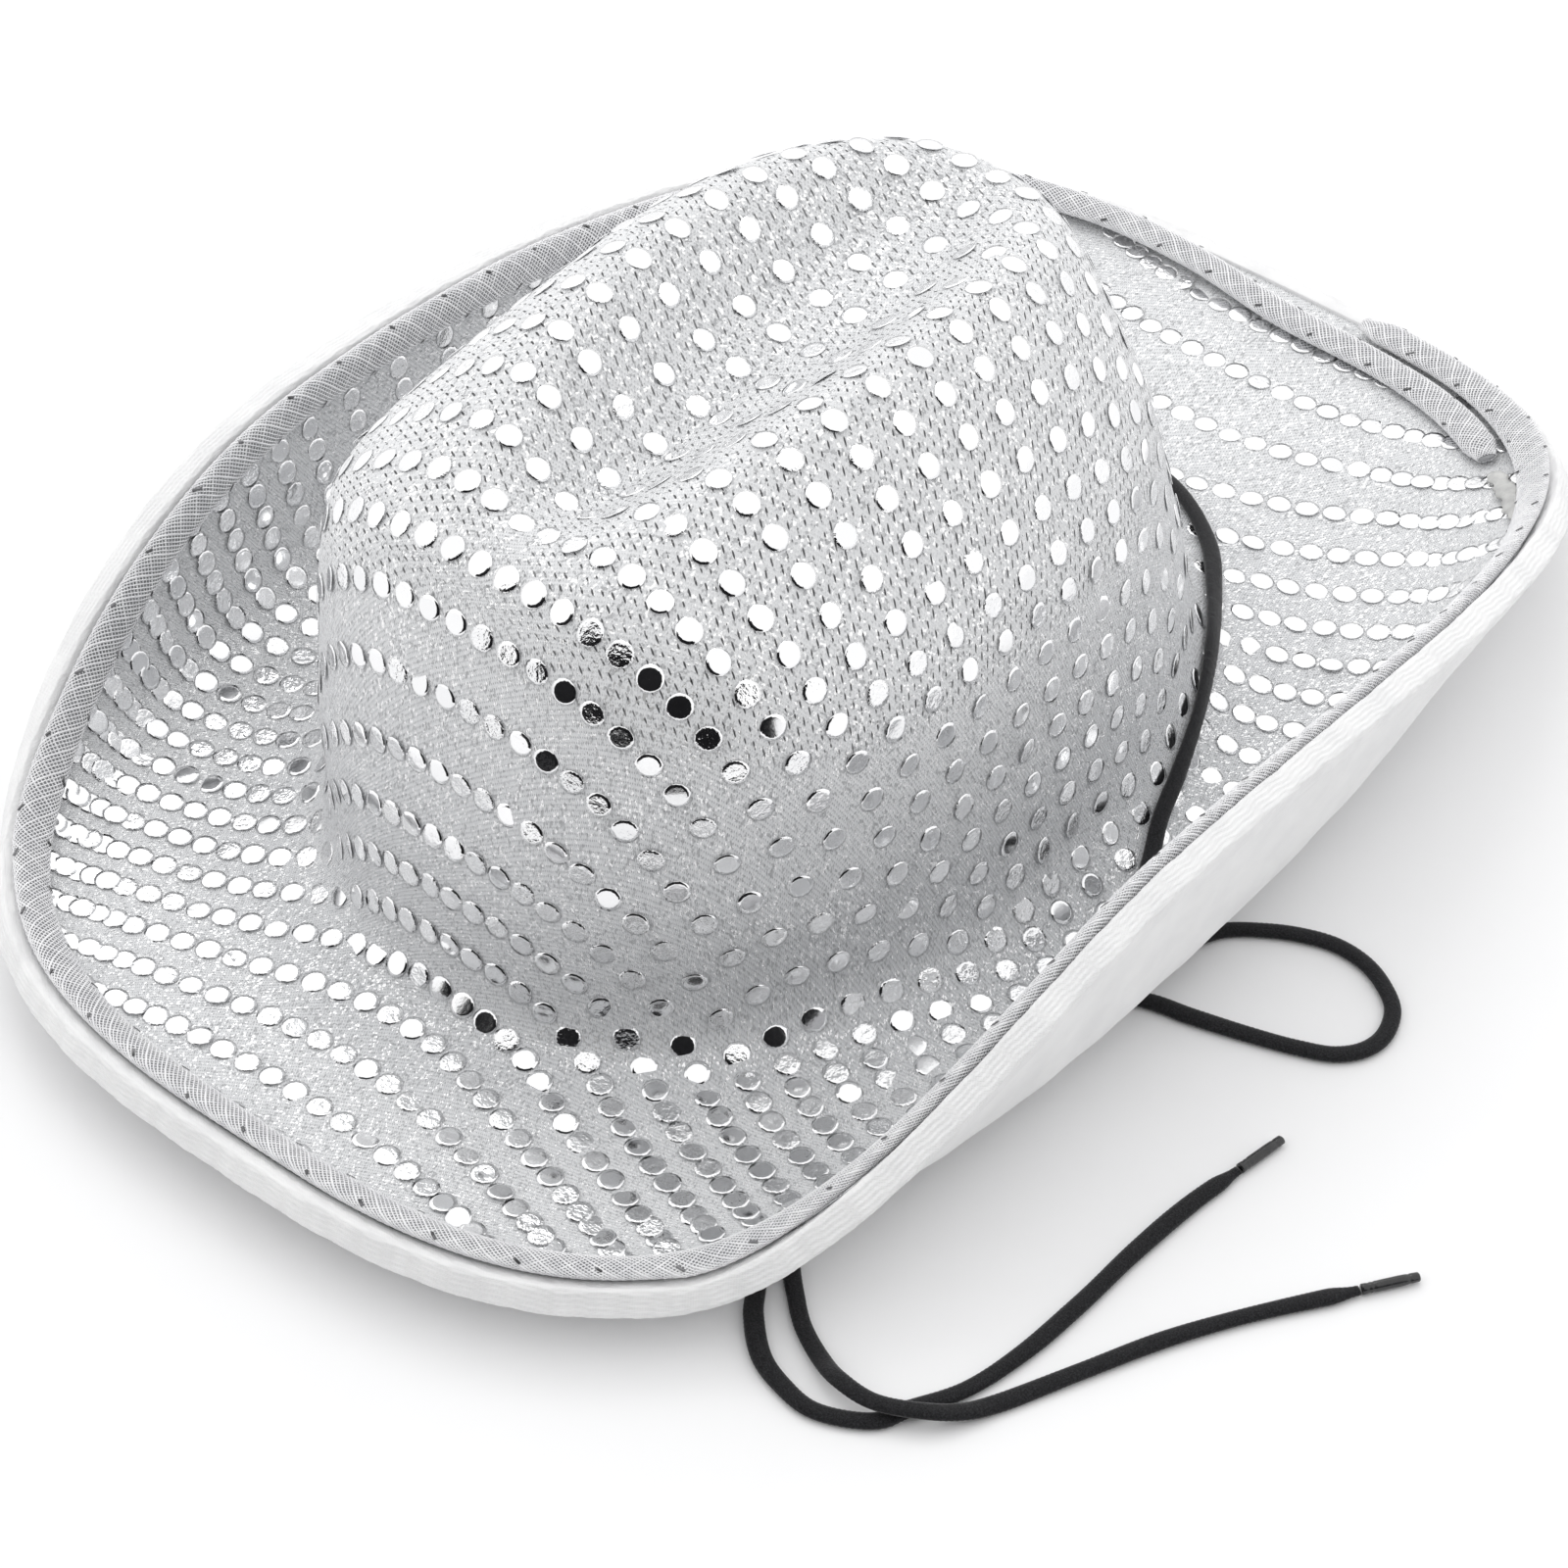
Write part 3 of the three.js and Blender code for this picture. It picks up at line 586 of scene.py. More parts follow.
def aglet_piece(name, spots, node):
    """A crimped plastic tip, a little flattened where the tool pressed it."""
    before, end = np.array(spots[-2]), np.array(spots[-1])
    way = end - before
    way[2] = 0
    way = way / np.linalg.norm(way)
    at = np.concatenate([[0, 0.15], np.linspace(0.5, AGLET_LENGTH - 0.8, 40),
                         [AGLET_LENGTH - 0.3, AGLET_LENGTH - 0.08, AGLET_LENGTH]])
    radius = AGLET_RADIUS - 0.2 * smooth_step(at, 8, AGLET_LENGTH)
    for crimp in (1.6, 2.6, 10.6):
        radius = radius - 0.13 * np.exp(-((at - crimp) / 0.28) ** 2)
    radius[0] *= 0.86
    radius[-2] *= 0.8
    radius[-1] *= 0.5
    middle = end + way * 0.4
    point = middle + way * at[:, None]
    point[:, 2] = AGLET_HEIGHT
    out = np.tile(np.cross(way, [0, 0, 1.0]), (len(at), 1))
    up = np.tile([0, 0, 1.0], (len(at), 1))
    section = oval(2, 2, 24)
    squeeze = np.stack([1 + 0.12 * smooth_step(at, 9, 11), 1 - 0.1 * smooth_step(at, 9, 11)], -1)
    profile = section[None] * radius[:, None, None] * squeeze[:, None, :]
    points, faces = tube_parts(swept(point, out, up, profile))
    tip = make_piece(name, points, faces, AGLET, "aglet")
    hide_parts(node)
    return tip


def cord_band():
    """The stretch from eyelet to eyelet round the back of the crown."""
    def lay(side):
        angles = np.radians([side * spot[0] for spot in BAND_HALF])
        point, normal, _, _ = frames(angles, np.array([spot[1] for spot in BAND_HALF]))
        return point + normal * np.array([[spot[2]] for spot in BAND_HALF])

    dives = [[EYELET_POINT[k] + EYELET_NORMAL[k] * above for above in (-2.2, 0.8, 3.2)] for k in (0, 1)]
    point, normal, _, _ = frames(np.array([math.pi]), np.array([5.78]))
    middle = point[0] + normal[0] * BAND_LIFT
    knots = [*dives[0], *lay(1), middle, *lay(-1)[::-1], *dives[1][::-1]]
    path, lengths = even_path(knots, LACE_STEP)
    angles, rows = np.meshgrid(np.radians(np.arange(85, 276, 1.5)), np.arange(4.6, 6.6, 0.08))
    near, normals, _, _ = frames(angles.ravel(), rows.ravel())
    flat = np.empty_like(path)
    for i, spot in enumerate(path):
        flat[i] = normals[np.argmin(((near - spot) ** 2).sum(1))]
    share = lengths / lengths[-1]
    known = (share > 0.06) & (share < 0.94)
    points, faces = tube_parts(braid_loops(path, lengths, flat, known, False))
    piece = make_piece("chin_cord_round_crown", points, faces, LACE, "lace")
    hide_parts("chin_cord_band")


cord_tail("chin_cord_left_end", 0, LEFT_TABLE, "chin_cord_left_tail", "left_aglet")
cord_tail("chin_cord_right_end", 1, RIGHT_TABLE, "chin_cord_right_tail", "right_aglet")
cord_band()

# ---------------------------------------------------------------- cloth and moulding

# How far from the dent's middle the flat cloth reached each ring before it was moulded.
FLAT_FRONT = [0, 37, 59, 68, 102, 137, 151, 165, 175, 182]
FLAT_SIDE = [0, 9, 27, 68, 98, 124, 138, 158, 183, 204]
FLAT_BACK = [0, 39, 60, 85, 106, 118, 128, 145, 158, 166]
SQUARE_FRONT = [2, *(ring[4] for ring in RINGS)]
SQUARE_BACK = [2, *(ring[5] for ring in RINGS)]


def eased(values, row):
    """Values given at the rings, blended smoothly between them."""
    offsets = np.linspace(-0.32, 0.32, 9)
    stretched = [2 * values[0] - values[1], *values, 2 * values[-1] - values[-2]]
    return np.mean([np.interp(row + d, np.arange(-1, 11), stretched) for d in offsets], axis=0)


def cloth_place(angle, row):
    """Where a spot on the hat was on the flat cloth: across and along it."""
    s, c = np.sin(angle), np.cos(angle)
    ahead = c >= 0
    square = np.where(ahead, eased(SQUARE_FRONT, row), eased(SQUARE_BACK, row))
    across, along = squared_turn(s, c, square)
    keep = 1 - 0.27 * smooth_step(row, 3.2, 5.4)
    reach = np.where(ahead, eased(FLAT_FRONT, row), eased(FLAT_BACK, row))
    gather = 1 - 0.15 * smooth_step(row, 3.2, 5.4)
    x = eased(FLAT_SIDE, row) * (keep * across + (1 - keep) * across ** 3)
    y = -reach * (gather * along + (1 - gather) * along ** 3)
    return x, y


def layer_rows(count):
    """Rows of a moulded layer, closer together where it starts in the dent."""
    return np.concatenate([[0.04, 0.1, 0.2], np.linspace(0.32, RIM, count - 3)])


def moulded_sheet(name, depth, columns, count, material, slot, wrinkle=None, facing_up=True):
    """One face of a moulded layer at a depth below the sequinned face."""
    rows = layer_rows(count)
    angles = even_angles(columns + 1, 6.5)[:-1]
    rr, aa = (grid.ravel() for grid in np.meshgrid(rows, angles, indexing="ij"))
    point, normal, _, _ = frames(aa, rr)
    lift = depth if wrinkle is None else depth + wrinkle(aa, rr, point)
    points = point + normal * np.reshape(lift, (-1, 1))
    pole = DENT_MIDDLE + np.array([0, 0, depth])
    points = np.concatenate([points, [pole]])
    faces = grid_faces(len(rows), columns, flip=not facing_up)
    last = len(points) - 1
    for j in range(columns):
        nxt = (j + 1) % columns
        faces.append([last, nxt, j] if facing_up else [last, j, nxt])
    x, y = cloth_place(aa, rr)
    cloth = np.concatenate([np.stack([x, y], -1), [[0, 0]]])
    steep = np.abs(np.sin(aa))
    stretch = smooth_step(rr, 1.4, 2.0) * (1 - smooth_step(rr, 3.0, 3.6)) * (0.35 + 0.65 * steep)
    stretch = np.maximum(stretch, 0.5 * (1 - smooth_step(rr, 1.6, 2.2)))
    # Painted shade mask: rows 3 to 6.6, the lower crown wall and its foot, which the knit darkens.
    wall = smooth_step(rr, 3.0, 4.4) * (1 - smooth_step(rr, 5.6, 6.6))
    stretch_and_wall_shade = np.concatenate([np.stack([stretch, wall], -1), [[0.5, 0]]])
    return make_piece(name, points, faces, material, slot, uv={"cloth": cloth, "stretch_and_wall_shade": stretch_and_wall_shade})


def skin_relief(_angle, row, point):
    """Slow swells of the pressed cloth."""
    swell = 0.16 * np.sin(point[:, 0] / 13 + point[:, 2] / 19) * np.sin(point[:, 1] / 16)
    return swell * smooth_step(row, 0.5, 1.5) * (1 - smooth_step(row, 8, 8.6))


def lining_relief(angle, row, point):
    """Shallow puckers under the brim, stronger near the edge where the cloth is gathered."""
    near_edge = smooth_step(row, 5.6, 8.4) * (1 - smooth_step(row, 8.75, 9))
    pucker = np.sin(angle * 61) * 0.12 + np.sin(angle * 37 + 1) * 0.14
    swell = 0.2 * np.sin(point[:, 0] / 17) * np.sin(point[:, 1] / 21)
    return near_edge * pucker + swell * (1 - smooth_step(row, 8.4, 9))


skin = moulded_sheet("knit_skin", 0.0, 640, 250, KNIT, "sequin_knit", skin_relief)
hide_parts("sequin_fabric_skin")
lining = moulded_sheet("brim_and_crown_lining", WALL_BOTTOM, 480, 150, LINING, "lining",
                       lining_relief, False)
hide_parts("moulded_lining_cloth")


def foam_body():
    """The pressed foam: its two faces joined at the rim."""
    rows = layer_rows(80)
    columns = 300
    angles = even_angles(columns + 1, 6.5)[:-1]
    rr, aa = (grid.ravel() for grid in np.meshgrid(rows, angles, indexing="ij"))
    point, normal, _, _ = frames(aa, rr)
    top = (point + normal * FOAM_TOP).reshape(len(rows), columns, 3)
    bottom = (point + normal * FOAM_BOTTOM).reshape(len(rows), columns, 3)
    loops = np.concatenate([top, bottom[::-1]])
    points = loops.reshape(-1, 3)
    faces = grid_faces(len(loops), columns)
    first = len(points)
    points = np.concatenate([points, [DENT_MIDDLE + [0, 0, FOAM_TOP], DENT_MIDDLE + [0, 0, FOAM_BOTTOM]]])
    base = (len(loops) - 1) * columns
    for j in range(columns):
        nxt = (j + 1) % columns
        faces.append([first, nxt, j])
        faces.append([first + 1, base + j, base + nxt])
    piece = make_piece("pressed_foam", points, faces, FOAM, "foam")
    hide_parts("moulded_foam_body")


foam_body()


def sweatband():
    """Folded cotton band with one row of stitches, standing on the table."""
    columns = 720
    angles = even_angles(columns + 1, 5)[:-1]
    rows = np.linspace(4.33, 5, 9)
    loops = []
    for depth, inside in zip(BAND_DEPTHS, (False, True)):
        ladder = []
        for row in rows:
            point, normal, _, _ = frames(angles, np.full(columns, row))
            ladder.append(point + normal * depth)
        foot = ladder[-1].copy()
        height = foot[:, 2].copy()
        for share in np.linspace(0.15, 1, 7):
            step = foot.copy()
            step[:, 2] = height * (1 - share)
            ladder.append(step)
        loops.append(ladder[::-1] if inside else ladder)
    rings = np.array(loops[0] + loops[1])
    middle = rings.mean(axis=(0, 1))
    ripple = 0.12 * np.sin(angles * 140)
    inward = rings - middle
    inward[..., 2] = 0
    rings = rings + unit(inward) * ripple[None, :, None] * 0.5
    rings[..., 2] = np.maximum(rings[..., 2], 0)
    points = rings.reshape(-1, 3)
    faces = grid_faces(len(rings), columns, wrap_rows=True)
    piece = make_piece("folded_sweatband", points, faces, BAND, "sweatband")
    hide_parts("sweatband")
    stitches(rings[len(rings) // 2 + 3: len(rings) // 2 + 5].mean(0), middle)


def stitches(line, middle):
    """A running stitch along the inner face of the sweatband."""
    pitch, length = 3.4, 2.3
    lengths = distance_run(line)
    parts = []
    for start in np.arange(0, lengths[-1] - 3, pitch):
        at = np.linspace(start, start + length, 6)
        point = np.stack([np.interp(at, lengths, line[:, k]) for k in range(3)], -1)
        inward = middle - point
        inward[:, 2] = 0
        inward = unit(inward)
        hump = 0.22 * np.sin(np.linspace(0, math.pi, 6))[:, None]
        point = point + inward * (hump + 0.05)
        out = np.tile([0, 0, 1.0], (6, 1))
        parts.append(tube_parts(swept(point, out, inward, oval(0.42, 0.34, 6))))
    merged(parts, "sweatband_stitches", MONOFIL, "sweatband")


def merged(parts, name, material, slot):
    """Many small bodies in one piece."""
    points, faces, first = [], [], 0
    for some, shape in parts:
        points.append(some)
        faces.extend([[first + k for k in face] for face in shape])
        first += len(some)
    return make_piece(name, np.concatenate(points), faces, material, slot)


sweatband()

# ---------------------------------------------------------------- sequins

PITCH_ACROSS = 7.0
PITCH_ALONG = 10.0
ROW_PHASE = 0.35
SEQUIN = 3.0
SEQUIN_SIDES = 14
BARE_EDGE = 6.2
BARE_EYELET = 8
CROWN_FOOT = 5


def sequin_spots():
    """Angle, row and cell of every place of the cloth's rectangular sequin pattern."""
    angles = np.linspace(0, TAU, 1201)
    rows = np.concatenate([np.linspace(0.02, 1.5, 90), np.linspace(1.52, RIM, 400)])
    aa, rr = np.meshgrid(angles, rows, indexing="ij")
    x, y = cloth_place(aa, rr)
    gx, gy = x / PITCH_ACROSS + 0.5, y / PITCH_ALONG + ROW_PHASE
    found = {}
    low, high = slice(None, -1), slice(1, None)
    halves = (((low, low), (high, low), (low, high)), ((high, high), (low, high), (high, low)))
    for corner in halves:
        px = [gx[c] for c in corner]
        py = [gy[c] for c in corner]
        i = np.ceil(np.minimum.reduce(px))
        j = np.ceil(np.minimum.reduce(py))
        maybe = (i <= np.maximum.reduce(px)) & (j <= np.maximum.reduce(py))
        a, b = px[1] - px[0], py[1] - py[0]
        c, d = px[2] - px[0], py[2] - py[0]
        det = a * d - b * c
        det = np.where(np.abs(det) < 1e-12, 1e-12, det)
        u = ((i - px[0]) * d - (j - py[0]) * c) / det
        v = ((j - py[0]) * a - (i - px[0]) * b) / det
        inside = maybe & (u >= -1e-6) & (v >= -1e-6) & (u + v <= 1 + 1e-6)
        for k, m in zip(*np.nonzero(inside)):
            angle = [aa[c][k, m] for c in corner]
            row = [rr[c][k, m] for c in corner]
            uu, vv = u[k, m], v[k, m]
            found[(int(i[k, m]), int(j[k, m]))] = (
                angle[0] + uu * (angle[1] - angle[0]) + vv * (angle[2] - angle[0]),
                row[0] + uu * (row[1] - row[0]) + vv * (row[2] - row[0]))
    cells = sorted(found)
    spots = np.array([found[cell] for cell in cells])
    return np.array(cells), spots[:, 0], spots[:, 1]


def sequin_template():
    """Rings of one disc: middle, inner ring, upper edge and lower edge, as (across, along, height)."""
    sides = SEQUIN_SIDES
    turn = np.linspace(0, TAU, sides, endpoint=False)
    ring = np.stack([np.cos(turn), np.sin(turn)], -1)
    parts = [[[0, 0, 0.16]]]
    for radius, height in ((0.7, 0.158), (1.0, 0.14), (1.0, 0.02)):
        parts.append(np.column_stack([ring * radius * SEQUIN, np.full(sides, height)]))
    points = np.concatenate(parts)
    faces = []
    for j in range(sides):
        nxt = (j + 1) % sides
        faces.append([0, 1 + j, 1 + nxt])
        faces.append([1 + j, 1 + sides + j, 1 + sides + nxt, 1 + nxt])
        faces.append([1 + sides + j, 1 + 2 * sides + j, 1 + 2 * sides + nxt, 1 + sides + nxt])
    faces.append([1 + 2 * sides + j for j in range(sides - 1, -1, -1)])
    return points, faces


def sequins(name, cells, angle, row):
    """One piece of many discs, each a little tilted, cupped and crinkled in its own way."""
    top = 1 + 2 * SEQUIN_SIDES
    point, normal, out, _ = frames(angle, row)
    count = len(point)
    side = unit(np.cross(out, normal))
    tilt = rng.normal(0, 0.045, (count, 2))
    loose = rng.random(count)
    tilt[loose > 0.93] *= 2.6
    normal = unit(normal + side * tilt[:, :1] + out * tilt[:, 1:])
    out = unit(out - normal * (out * normal).sum(1, keepdims=True))
    side = np.cross(out, normal)
    template, shape = sequin_template()
    place = np.repeat(template[None], count, 0)
    crinkle = np.clip(rng.random(count) ** 2.2 * 1.1, 0.03, 1)
    scale = 1 + rng.normal(0, 0.012, count)
    place[..., :2] *= scale[:, None, None]
    wobble = rng.normal(0, 0.05, (count, top)) * crinkle[:, None]
    place[:, :top, 2] += wobble
    place[:, top:, 2] += wobble[:, 1 + SEQUIN_SIDES:]
    place[..., 2] += (0.1 + 0.09 * (cells[:, 0] % 3))[:, None]
    cup = rng.normal(0, 0.03, count)
    place[..., 2] += cup[:, None] * ((place[..., :2] ** 2).sum(-1) / SEQUIN ** 2 - 0.5) * 2
    points = (point[:, None] + side[:, None] * place[..., :1] + out[:, None] * place[..., 1:2]
              + normal[:, None] * place[..., 2:])
    size = len(template)
    faces = [[k * size + v for v in face] for k in range(count) for face in shape]
    disc = np.repeat(np.stack([rng.random(count), crinkle], -1), size, axis=0)
    return make_piece(name, points.reshape(-1, 3), faces, FOIL, "sequin_knit", uv={"disc": disc})


def all_sequins():
    """The sequins of the crown and of the brim, kept off the trimmed edge and the eyelets."""
    cells, angle, row = sequin_spots()
    point, _, _, speed = frames(angle, row)
    from_rim = (RIM - row) * speed
    clear = from_rim > BARE_EDGE
    for eyelet in EYELET_POINT:
        clear &= np.linalg.norm(point - eyelet, axis=1) > BARE_EYELET
    for label, part in (("crown_sequins", row < CROWN_FOOT), ("brim_sequins", row >= CROWN_FOOT)):
        use = clear & part
        sequins(label, cells[use], angle[use], row[use])


all_sequins()

# ---------------------------------------------------------------- brim edge

TAPE_TOP = 1.0
TAPE_FOOT = -5.4
TAPE_WALL = 4.25
TUBE_WIDTH = 9.5
TUBE_HEIGHT = 4.2
TUBE_START = 172.0
TUBE_END = -214.0
TUBE_OUT = -3.6
TUBE_SIDE_OUT = 3.2
TUBE_SHIFT_FROM = -143
TUBE_SHIFT_OVER = 42
TUBE_STEP = 0.5
THREAD = 0.36
BROAD_THREAD = 0.6
THREADS = 20
THREAD_LEAD = 24.0
FLECK_PITCH = 8.3


def binding_tape():
    """Ribbed tape folded round the edge: ribs run along it, a little wavy from the sewing."""
    columns = 1000
    angles = even_angles(columns + 1)[:-1]
    top, bottom, wall = TAPE_TOP, TAPE_FOOT, TAPE_WALL
    outline = [(-1.5, top - 0.7), (-1.5, top - 0.1), (-1.2, top)]
    outline += [(x, top) for x in (0, 1.2, 2.2, 2.9)]
    outline += [(wall - 1 + math.sin(t), top - 1 + math.cos(t)) for t in np.linspace(0.2, 1.45, 6)]
    outline += [(wall, z) for z in np.linspace(top - 1.15, bottom + 1.15, 26)]
    outline += [(wall - 1 + math.cos(t), bottom + 1 - math.sin(t)) for t in np.linspace(0.1, 1.4, 6)]
    outline += [(x, bottom) for x in (2.9, 2.0, 1.0, 0.0, -1.0)]
    outline += [(-1.3, bottom + 0.1), (-1.3, bottom + 0.7)]
    outline = np.array(outline)
    facing = unit(np.gradient(outline, axis=0))[:, ::-1] * [-1, 1]
    run = distance_run(outline)
    wave = 0.35 * np.sin(angles * 83)[:, None] + 0.25 * np.sin(angles * 211)[:, None]
    ribs = 0.13 * np.sin(TAU * (run[None, :] + wave) / 1.25)
    soft = smooth_step(run, 0.8, 3.5) * (1 - smooth_step(run, run[-1] - 3.5, run[-1] - 0.5))
    pinch = 0.1 * np.sin(angles * 47 + 2)[:, None] * smooth_step(run, 3, 8)[None]
    moved = outline[None] - facing[None] * ((ribs + pinch) * soft[None])[..., None]
    point, normal, out, _ = frames(angles, np.full(columns, float(RIM)))
    loops = swept(point, out, normal, moved)
    piece = make_piece("ribbed_binding_tape", loops.reshape(-1, 3),
                       grid_faces(columns, len(outline), wrap_rows=True), TAPE, "woven_tape")
    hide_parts("edge_binding_tape")


def tube_line():
    """Evenly spaced frames along the mesh tube, with the distance run at each."""
    degrees = np.linspace(TUBE_START, TUBE_END, 3000)
    point, normal, out = tube_frames(degrees)
    lengths = distance_run(point)
    run = np.arange(0, lengths[-1], TUBE_STEP)
    point, normal, out = tube_frames(np.interp(run, lengths, degrees))
    return run, point, normal, out


def tube_frames(degrees):
    """Middle of the tube: its last stretch moves inward and lies beside its start."""
    shift = smooth_step(TUBE_SHIFT_FROM - degrees, 0, TUBE_SHIFT_OVER)
    along = TUBE_OUT + TUBE_SIDE_OUT * np.sin(np.radians(degrees)) ** 2 * (1 - shift)
    point, normal, out = edge_frames(np.radians(degrees), along - shift * (TUBE_WIDTH + 1))
    lowered = smooth_step(shift, 0.6, 1.0)
    seat = 0.1 + 1.0 * (1 - lowered)
    return point + normal * (seat + TUBE_HEIGHT / 2)[:, None], normal, out


def mesh_tube():
    """The soft tube: a grey core, painted shade of the tube's inside, within a braid of white threads,
    with flecks in it.
    """
    run, point, normal, out = tube_line()
    breathe = 1 + 0.03 * np.sin(run / 21) + 0.02 * np.sin(run / 7.7)
    ends = 1 - 0.45 * (smooth_step(run, 7, 0) + smooth_step(run, run[-1] - 7, run[-1]))
    section = oval(TUBE_WIDTH - 1.8, TUBE_HEIGHT - 1.8, 20, 2.2)
    size = breathe * ends
    keep = slice(None, None, 4)
    profile = section[None] * size[keep, None, None]
    # Painted shade: the grey core stands for the shade seen through the braid.
    shade_core = make_piece("mesh_tube_inside_painted_shade", *tube_parts(swept(point[keep], out[keep], normal[keep], profile)),
                      TUBE_INSIDE_SHADE, "mesh_tube")
    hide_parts("mesh_tube_trim")
    for label, hand, lift in (("left", 1, 0.0), ("right", -1, -0.06)):
        strands(f"mesh_tube_threads_{label}", hand, lift, run, point, normal, out, size)
    flecks(run, point, normal, out)


def tube_skin(turn, size, lift, point, normal, out):
    """Places on the tube's oval at the given turns, with the direction facing out of it."""
    c, s = np.cos(turn), np.sin(turn)
    wide, high = (TUBE_WIDTH / 2 - 0.25) * size, (TUBE_HEIGHT / 2 - 0.25) * size
    place = point + out * (c * (wide + lift))[:, None] + normal * (s * (high + lift))[:, None]
    facing = unit(out * (c / wide)[:, None] + normal * (s / high)[:, None])
    return place, facing


def strands(name, hand, lift, run, point, normal, out, size):
    """One hand of the braid: threads that wind round the tube, every fifth a broad one."""
    parts = []
    keep = slice(None, None, 4)
    for k in range(THREADS):
        turn = hand * TAU * run[keep] / THREAD_LEAD + TAU * k / THREADS
        place, facing = tube_skin(turn, size[keep], lift, point[keep], normal[keep], out[keep])
        way = unit(np.gradient(place, axis=0))
        aside = unit(np.cross(way, facing))
        broad = BROAD_THREAD if k % 5 == 0 else THREAD
        profile = np.array([[-broad / 2, 0], [0, -0.12], [broad / 2, 0], [0, 0.14]])
        parts.append(tube_parts(swept(place, aside, facing, profile)))
    merged(parts, name, MONOFIL, "mesh_tube")


def flecks(run, point, normal, out):
    """Short dark glossy bits caught in the braid near its two edges."""
    parts = []
    place_at = np.arange(9, run[-1] - 9, FLECK_PITCH)
    for k, start in enumerate(place_at):
        start += rng.normal(0, 0.8)
        length = rng.uniform(0.7, 1.7)
        at = np.linspace(start, start + length, 4)
        pick = np.clip((at / TUBE_STEP).astype(int), 0, len(run) - 1)
        middle = 0.35 if k % 2 == 0 else 2.6
        turn = middle + rng.normal(0, 0.06) + (at - start) * 0.26 * (-1) ** k
        place, facing = tube_skin(turn, np.ones(4), 0.22, point[pick], normal[pick], out[pick])
        way = unit(np.gradient(place, axis=0))
        aside = unit(np.cross(way, facing))
        profile = np.array([[-0.34, 0], [0, -0.08], [0.34, 0], [0, 0.1]])
        parts.append(tube_parts(swept(place, aside, facing, profile)))
    merged(parts, "mesh_tube_flecks", FLECK, "mesh_tube")


def edge_wire():
    """The bent wire in the brim's edge; its ends meet at the back inside a crimped sleeve."""
    half = even_angles(501, RIM, -math.pi + 0.003, math.pi - 0.003)
    point, normal, out = edge_frames(half, np.full(half.shape, 1.9))
    loops = swept(point + normal * (WALL_BOTTOM / 2), out, normal, oval(1.4, 1.4, 12))
    piece = make_piece("edge_wire", *tube_parts(loops), STEEL, "steel_wire")
    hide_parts("brim_edge_wire")


def glue_smear():
    """Smear of clear glue that holds the tube's last end down."""
    share = np.linspace(0, 1, 60)
    degrees = TUBE_END - 1.6 - 9.0 * share
    point, normal, out = edge_frames(np.radians(degrees), TUBE_OUT - TUBE_WIDTH - 1 + 5 * share)
    lumps = 1 + 0.16 * np.sin(share * 19) + 0.1 * np.sin(share * 41 + 1)
    ends = np.sqrt(np.clip(1 - (2 * share - 1) ** 6, 0.02, 1))
    profile = oval(5, 1.2, 24)[None] * np.stack([lumps * ends, (0.75 + 0.25 * lumps) * ends], -1)[:, None]
    loops = swept(point + normal * 1.4, out, normal, profile)
    piece = make_piece("glue_smear", *tube_parts(loops), GLUE, "glue")
    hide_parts("trim_end_glue")


def eyelet(name, side, node):
    """A rolled nickel eyelet: domed flange above, barrel, and a lip turned out below."""
    dome = [(2.9 + 1.05 - 1.05 * math.cos(t), 0.55 + 0.75 * math.sin(t)) for t in np.linspace(0, 1.9, 10)]
    outline = [(2.75, -5.6), (2.75, 0.4), *dome, (4.9, 0.85), (5.05, 0.45), (4.9, 0.3), (3.5, 0.25),
               (3.45, -5.0), (3.9, -5.7), (4.4, -5.9), (4.4, -6.25), (3.6, -6.3), (2.95, -6.0)]
    outline = np.array(outline)
    turn = np.linspace(0, TAU, 48, endpoint=False)
    normal = EYELET_NORMAL[side]
    out = EYELET_OUT[side]
    aside = np.cross(normal, out)
    spoke = np.cos(turn)[:, None] * out + np.sin(turn)[:, None] * aside
    loops = (EYELET_POINT[side] + spoke[:, None] * outline[None, :, :1] + normal * outline[None, :, 1:])
    piece = make_piece(name, loops.reshape(-1, 3),
                       grid_faces(48, len(outline), wrap_rows=True, flip=True), NICKEL, "eyelet_metal")
    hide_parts(node)


binding_tape()
mesh_tube()
edge_wire()
glue_smear()
eyelet("left_rolled_eyelet", 0, "left_eyelet")
eyelet("right_rolled_eyelet", 1, "right_eyelet")

for node, material in (("left_eyelet_washer", NICKEL), ("right_eyelet_washer", NICKEL),
                       ("wire_joint_sleeve", BRASS)):
    data = NODES[node].data
    data.materials.clear()
    data.materials.append(material)

# ---------------------------------------------------------------- floor and light


FLOOR_HALF = 4.0
DARK_TURN = 43
DARK_RISE = 8
SKY_LIGHT = 1.15
SKY_DARK = 0.03
FLAG_TURNS = (-14, 70)
FLAG_AWAY = 0.33
FLAG_HEIGHT = 0.46


def floor():
    """A plain pale table under the hat."""
    s = Shader("studio_floor", Roughness=0.9, Specular_IOR_Level=0.1)
    tone = s.noise(s.place(), 14, 2)
    s.set("Base Color", s.mix(tone, (0.93, 0.93, 0.935), (0.95, 0.95, 0.955)))
    mesh = bpy.data.meshes.new("studio_floor")
    half = FLOOR_HALF
    corners = [(-half, -half, 0), (half, -half, 0), (half, half, 0), (-half, half, 0)]
    mesh.from_pydata(corners, [], [(0, 1, 2, 3)])
    mesh.materials.append(s.material)
    plane = bpy.data.objects.new("studio_floor", mesh)
    bpy.context.scene.collection.objects.link(plane)


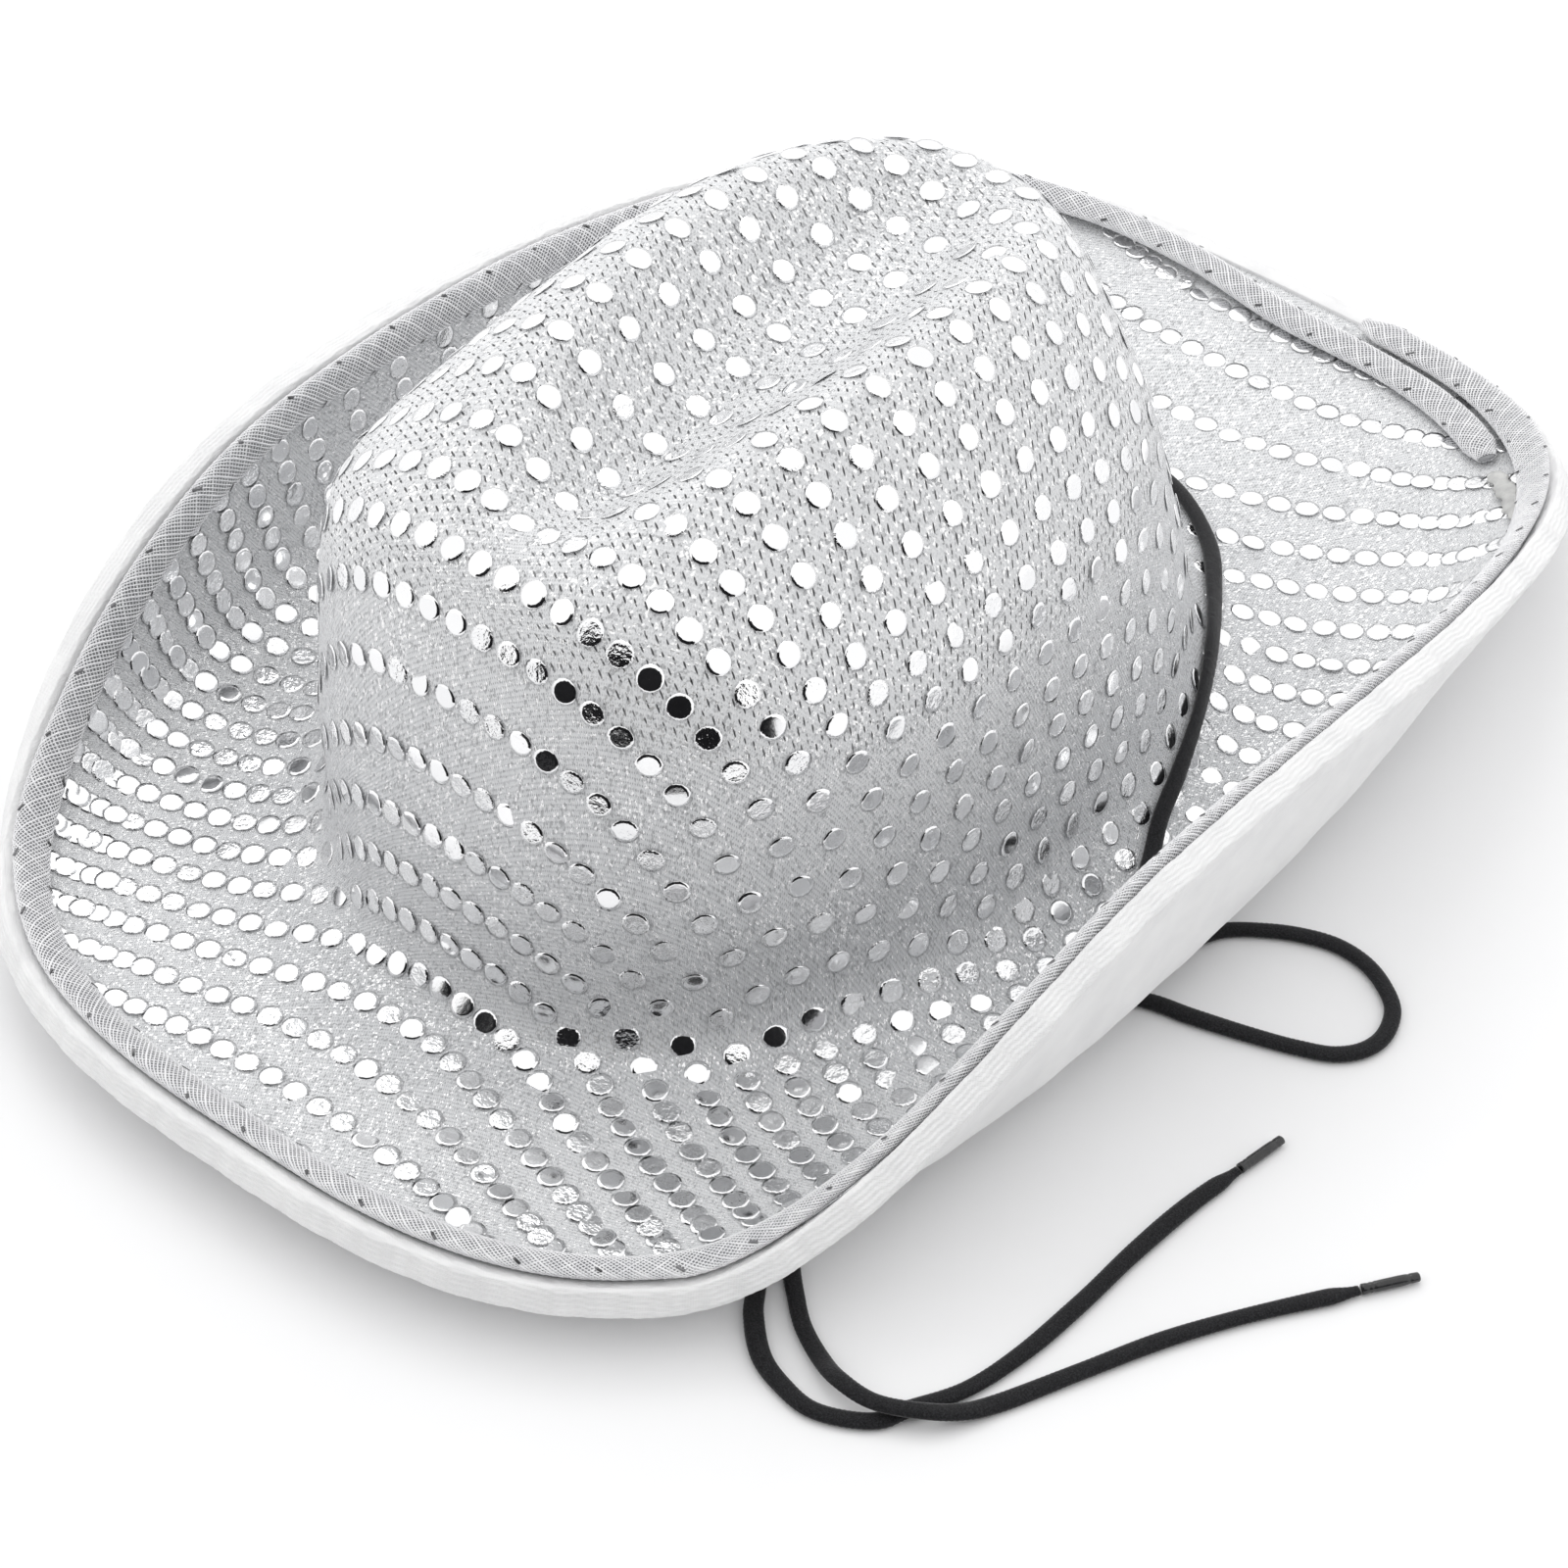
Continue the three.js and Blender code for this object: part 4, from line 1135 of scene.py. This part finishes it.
def sky():
    """White studio surround with one dark opening, where the room behind the camera shows."""
    world = bpy.data.worlds.new("studio")
    bpy.context.scene.world = world
    world.use_nodes = True
    tree = world.node_tree
    back = tree.nodes["Background"]
    look = tree.nodes.new("ShaderNodeTexCoord")
    dot = tree.nodes.new("ShaderNodeVectorMath")
    dot.operation = "DOT_PRODUCT"
    turn, rise = math.radians(DARK_TURN), math.radians(DARK_RISE)
    dot.inputs[1].default_value = (
        math.sin(turn) * math.cos(rise), -math.cos(turn) * math.cos(rise), math.sin(rise))
    tree.links.new(look.outputs["Generated"], dot.inputs[0])
    edge = tree.nodes.new("ShaderNodeMapRange")
    edge.interpolation_type = "SMOOTHSTEP"
    edge.inputs[1].default_value = math.cos(math.radians(44))
    edge.inputs[2].default_value = math.cos(math.radians(34))
    edge.inputs[3].default_value = SKY_LIGHT
    edge.inputs[4].default_value = SKY_DARK
    tree.links.new(dot.outputs["Value"], edge.inputs[0])
    tree.links.new(edge.outputs[0], back.inputs["Strength"])
    back.inputs["Color"].default_value = (1, 1, 1, 1)


def dark_card():
    """A dark flag beside the camera that only shows in glossy reflections."""
    s = Shader("flag_black", Roughness=0.9, Base_Color=(0.01, 0.01, 0.011), Specular_IOR_Level=0.0)
    turns = np.radians(np.linspace(*FLAG_TURNS, 28))
    points, faces = [], []
    for turn in turns:
        for height in (0.0, FLAG_HEIGHT):
            points.append((FLAG_AWAY * math.sin(turn), -FLAG_AWAY * math.cos(turn) - 0.03, height))
    for k in range(len(turns) - 1):
        faces.append((2 * k, 2 * k + 2, 2 * k + 3, 2 * k + 1))
    mesh = bpy.data.meshes.new("dark_flag")
    mesh.from_pydata(points, [], faces)
    mesh.materials.append(s.material)
    card = bpy.data.objects.new("dark_flag", mesh)
    bpy.context.scene.collection.objects.link(card)
    card.visible_camera = False
    card.visible_diffuse = False
    card.visible_shadow = False
    card.visible_transmission = False


def key_light():
    """A soft lamp high up behind the hat, to its right."""
    data = bpy.data.lights.new("key", "AREA")
    data.shape = "DISK"
    data.size = 1.2
    data.energy = 5
    lamp = bpy.data.objects.new("key", data)
    lamp.location = (-0.9, 0.7, 1.6)
    way = Vector((0, 0, 0)) - Vector(lamp.location)
    lamp.rotation_euler = way.to_track_quat("-Z", "Y").to_euler()
    bpy.context.scene.collection.objects.link(lamp)


floor()
sky()
dark_card()
key_light()
bpy.context.scene.view_settings.view_transform = "Standard"
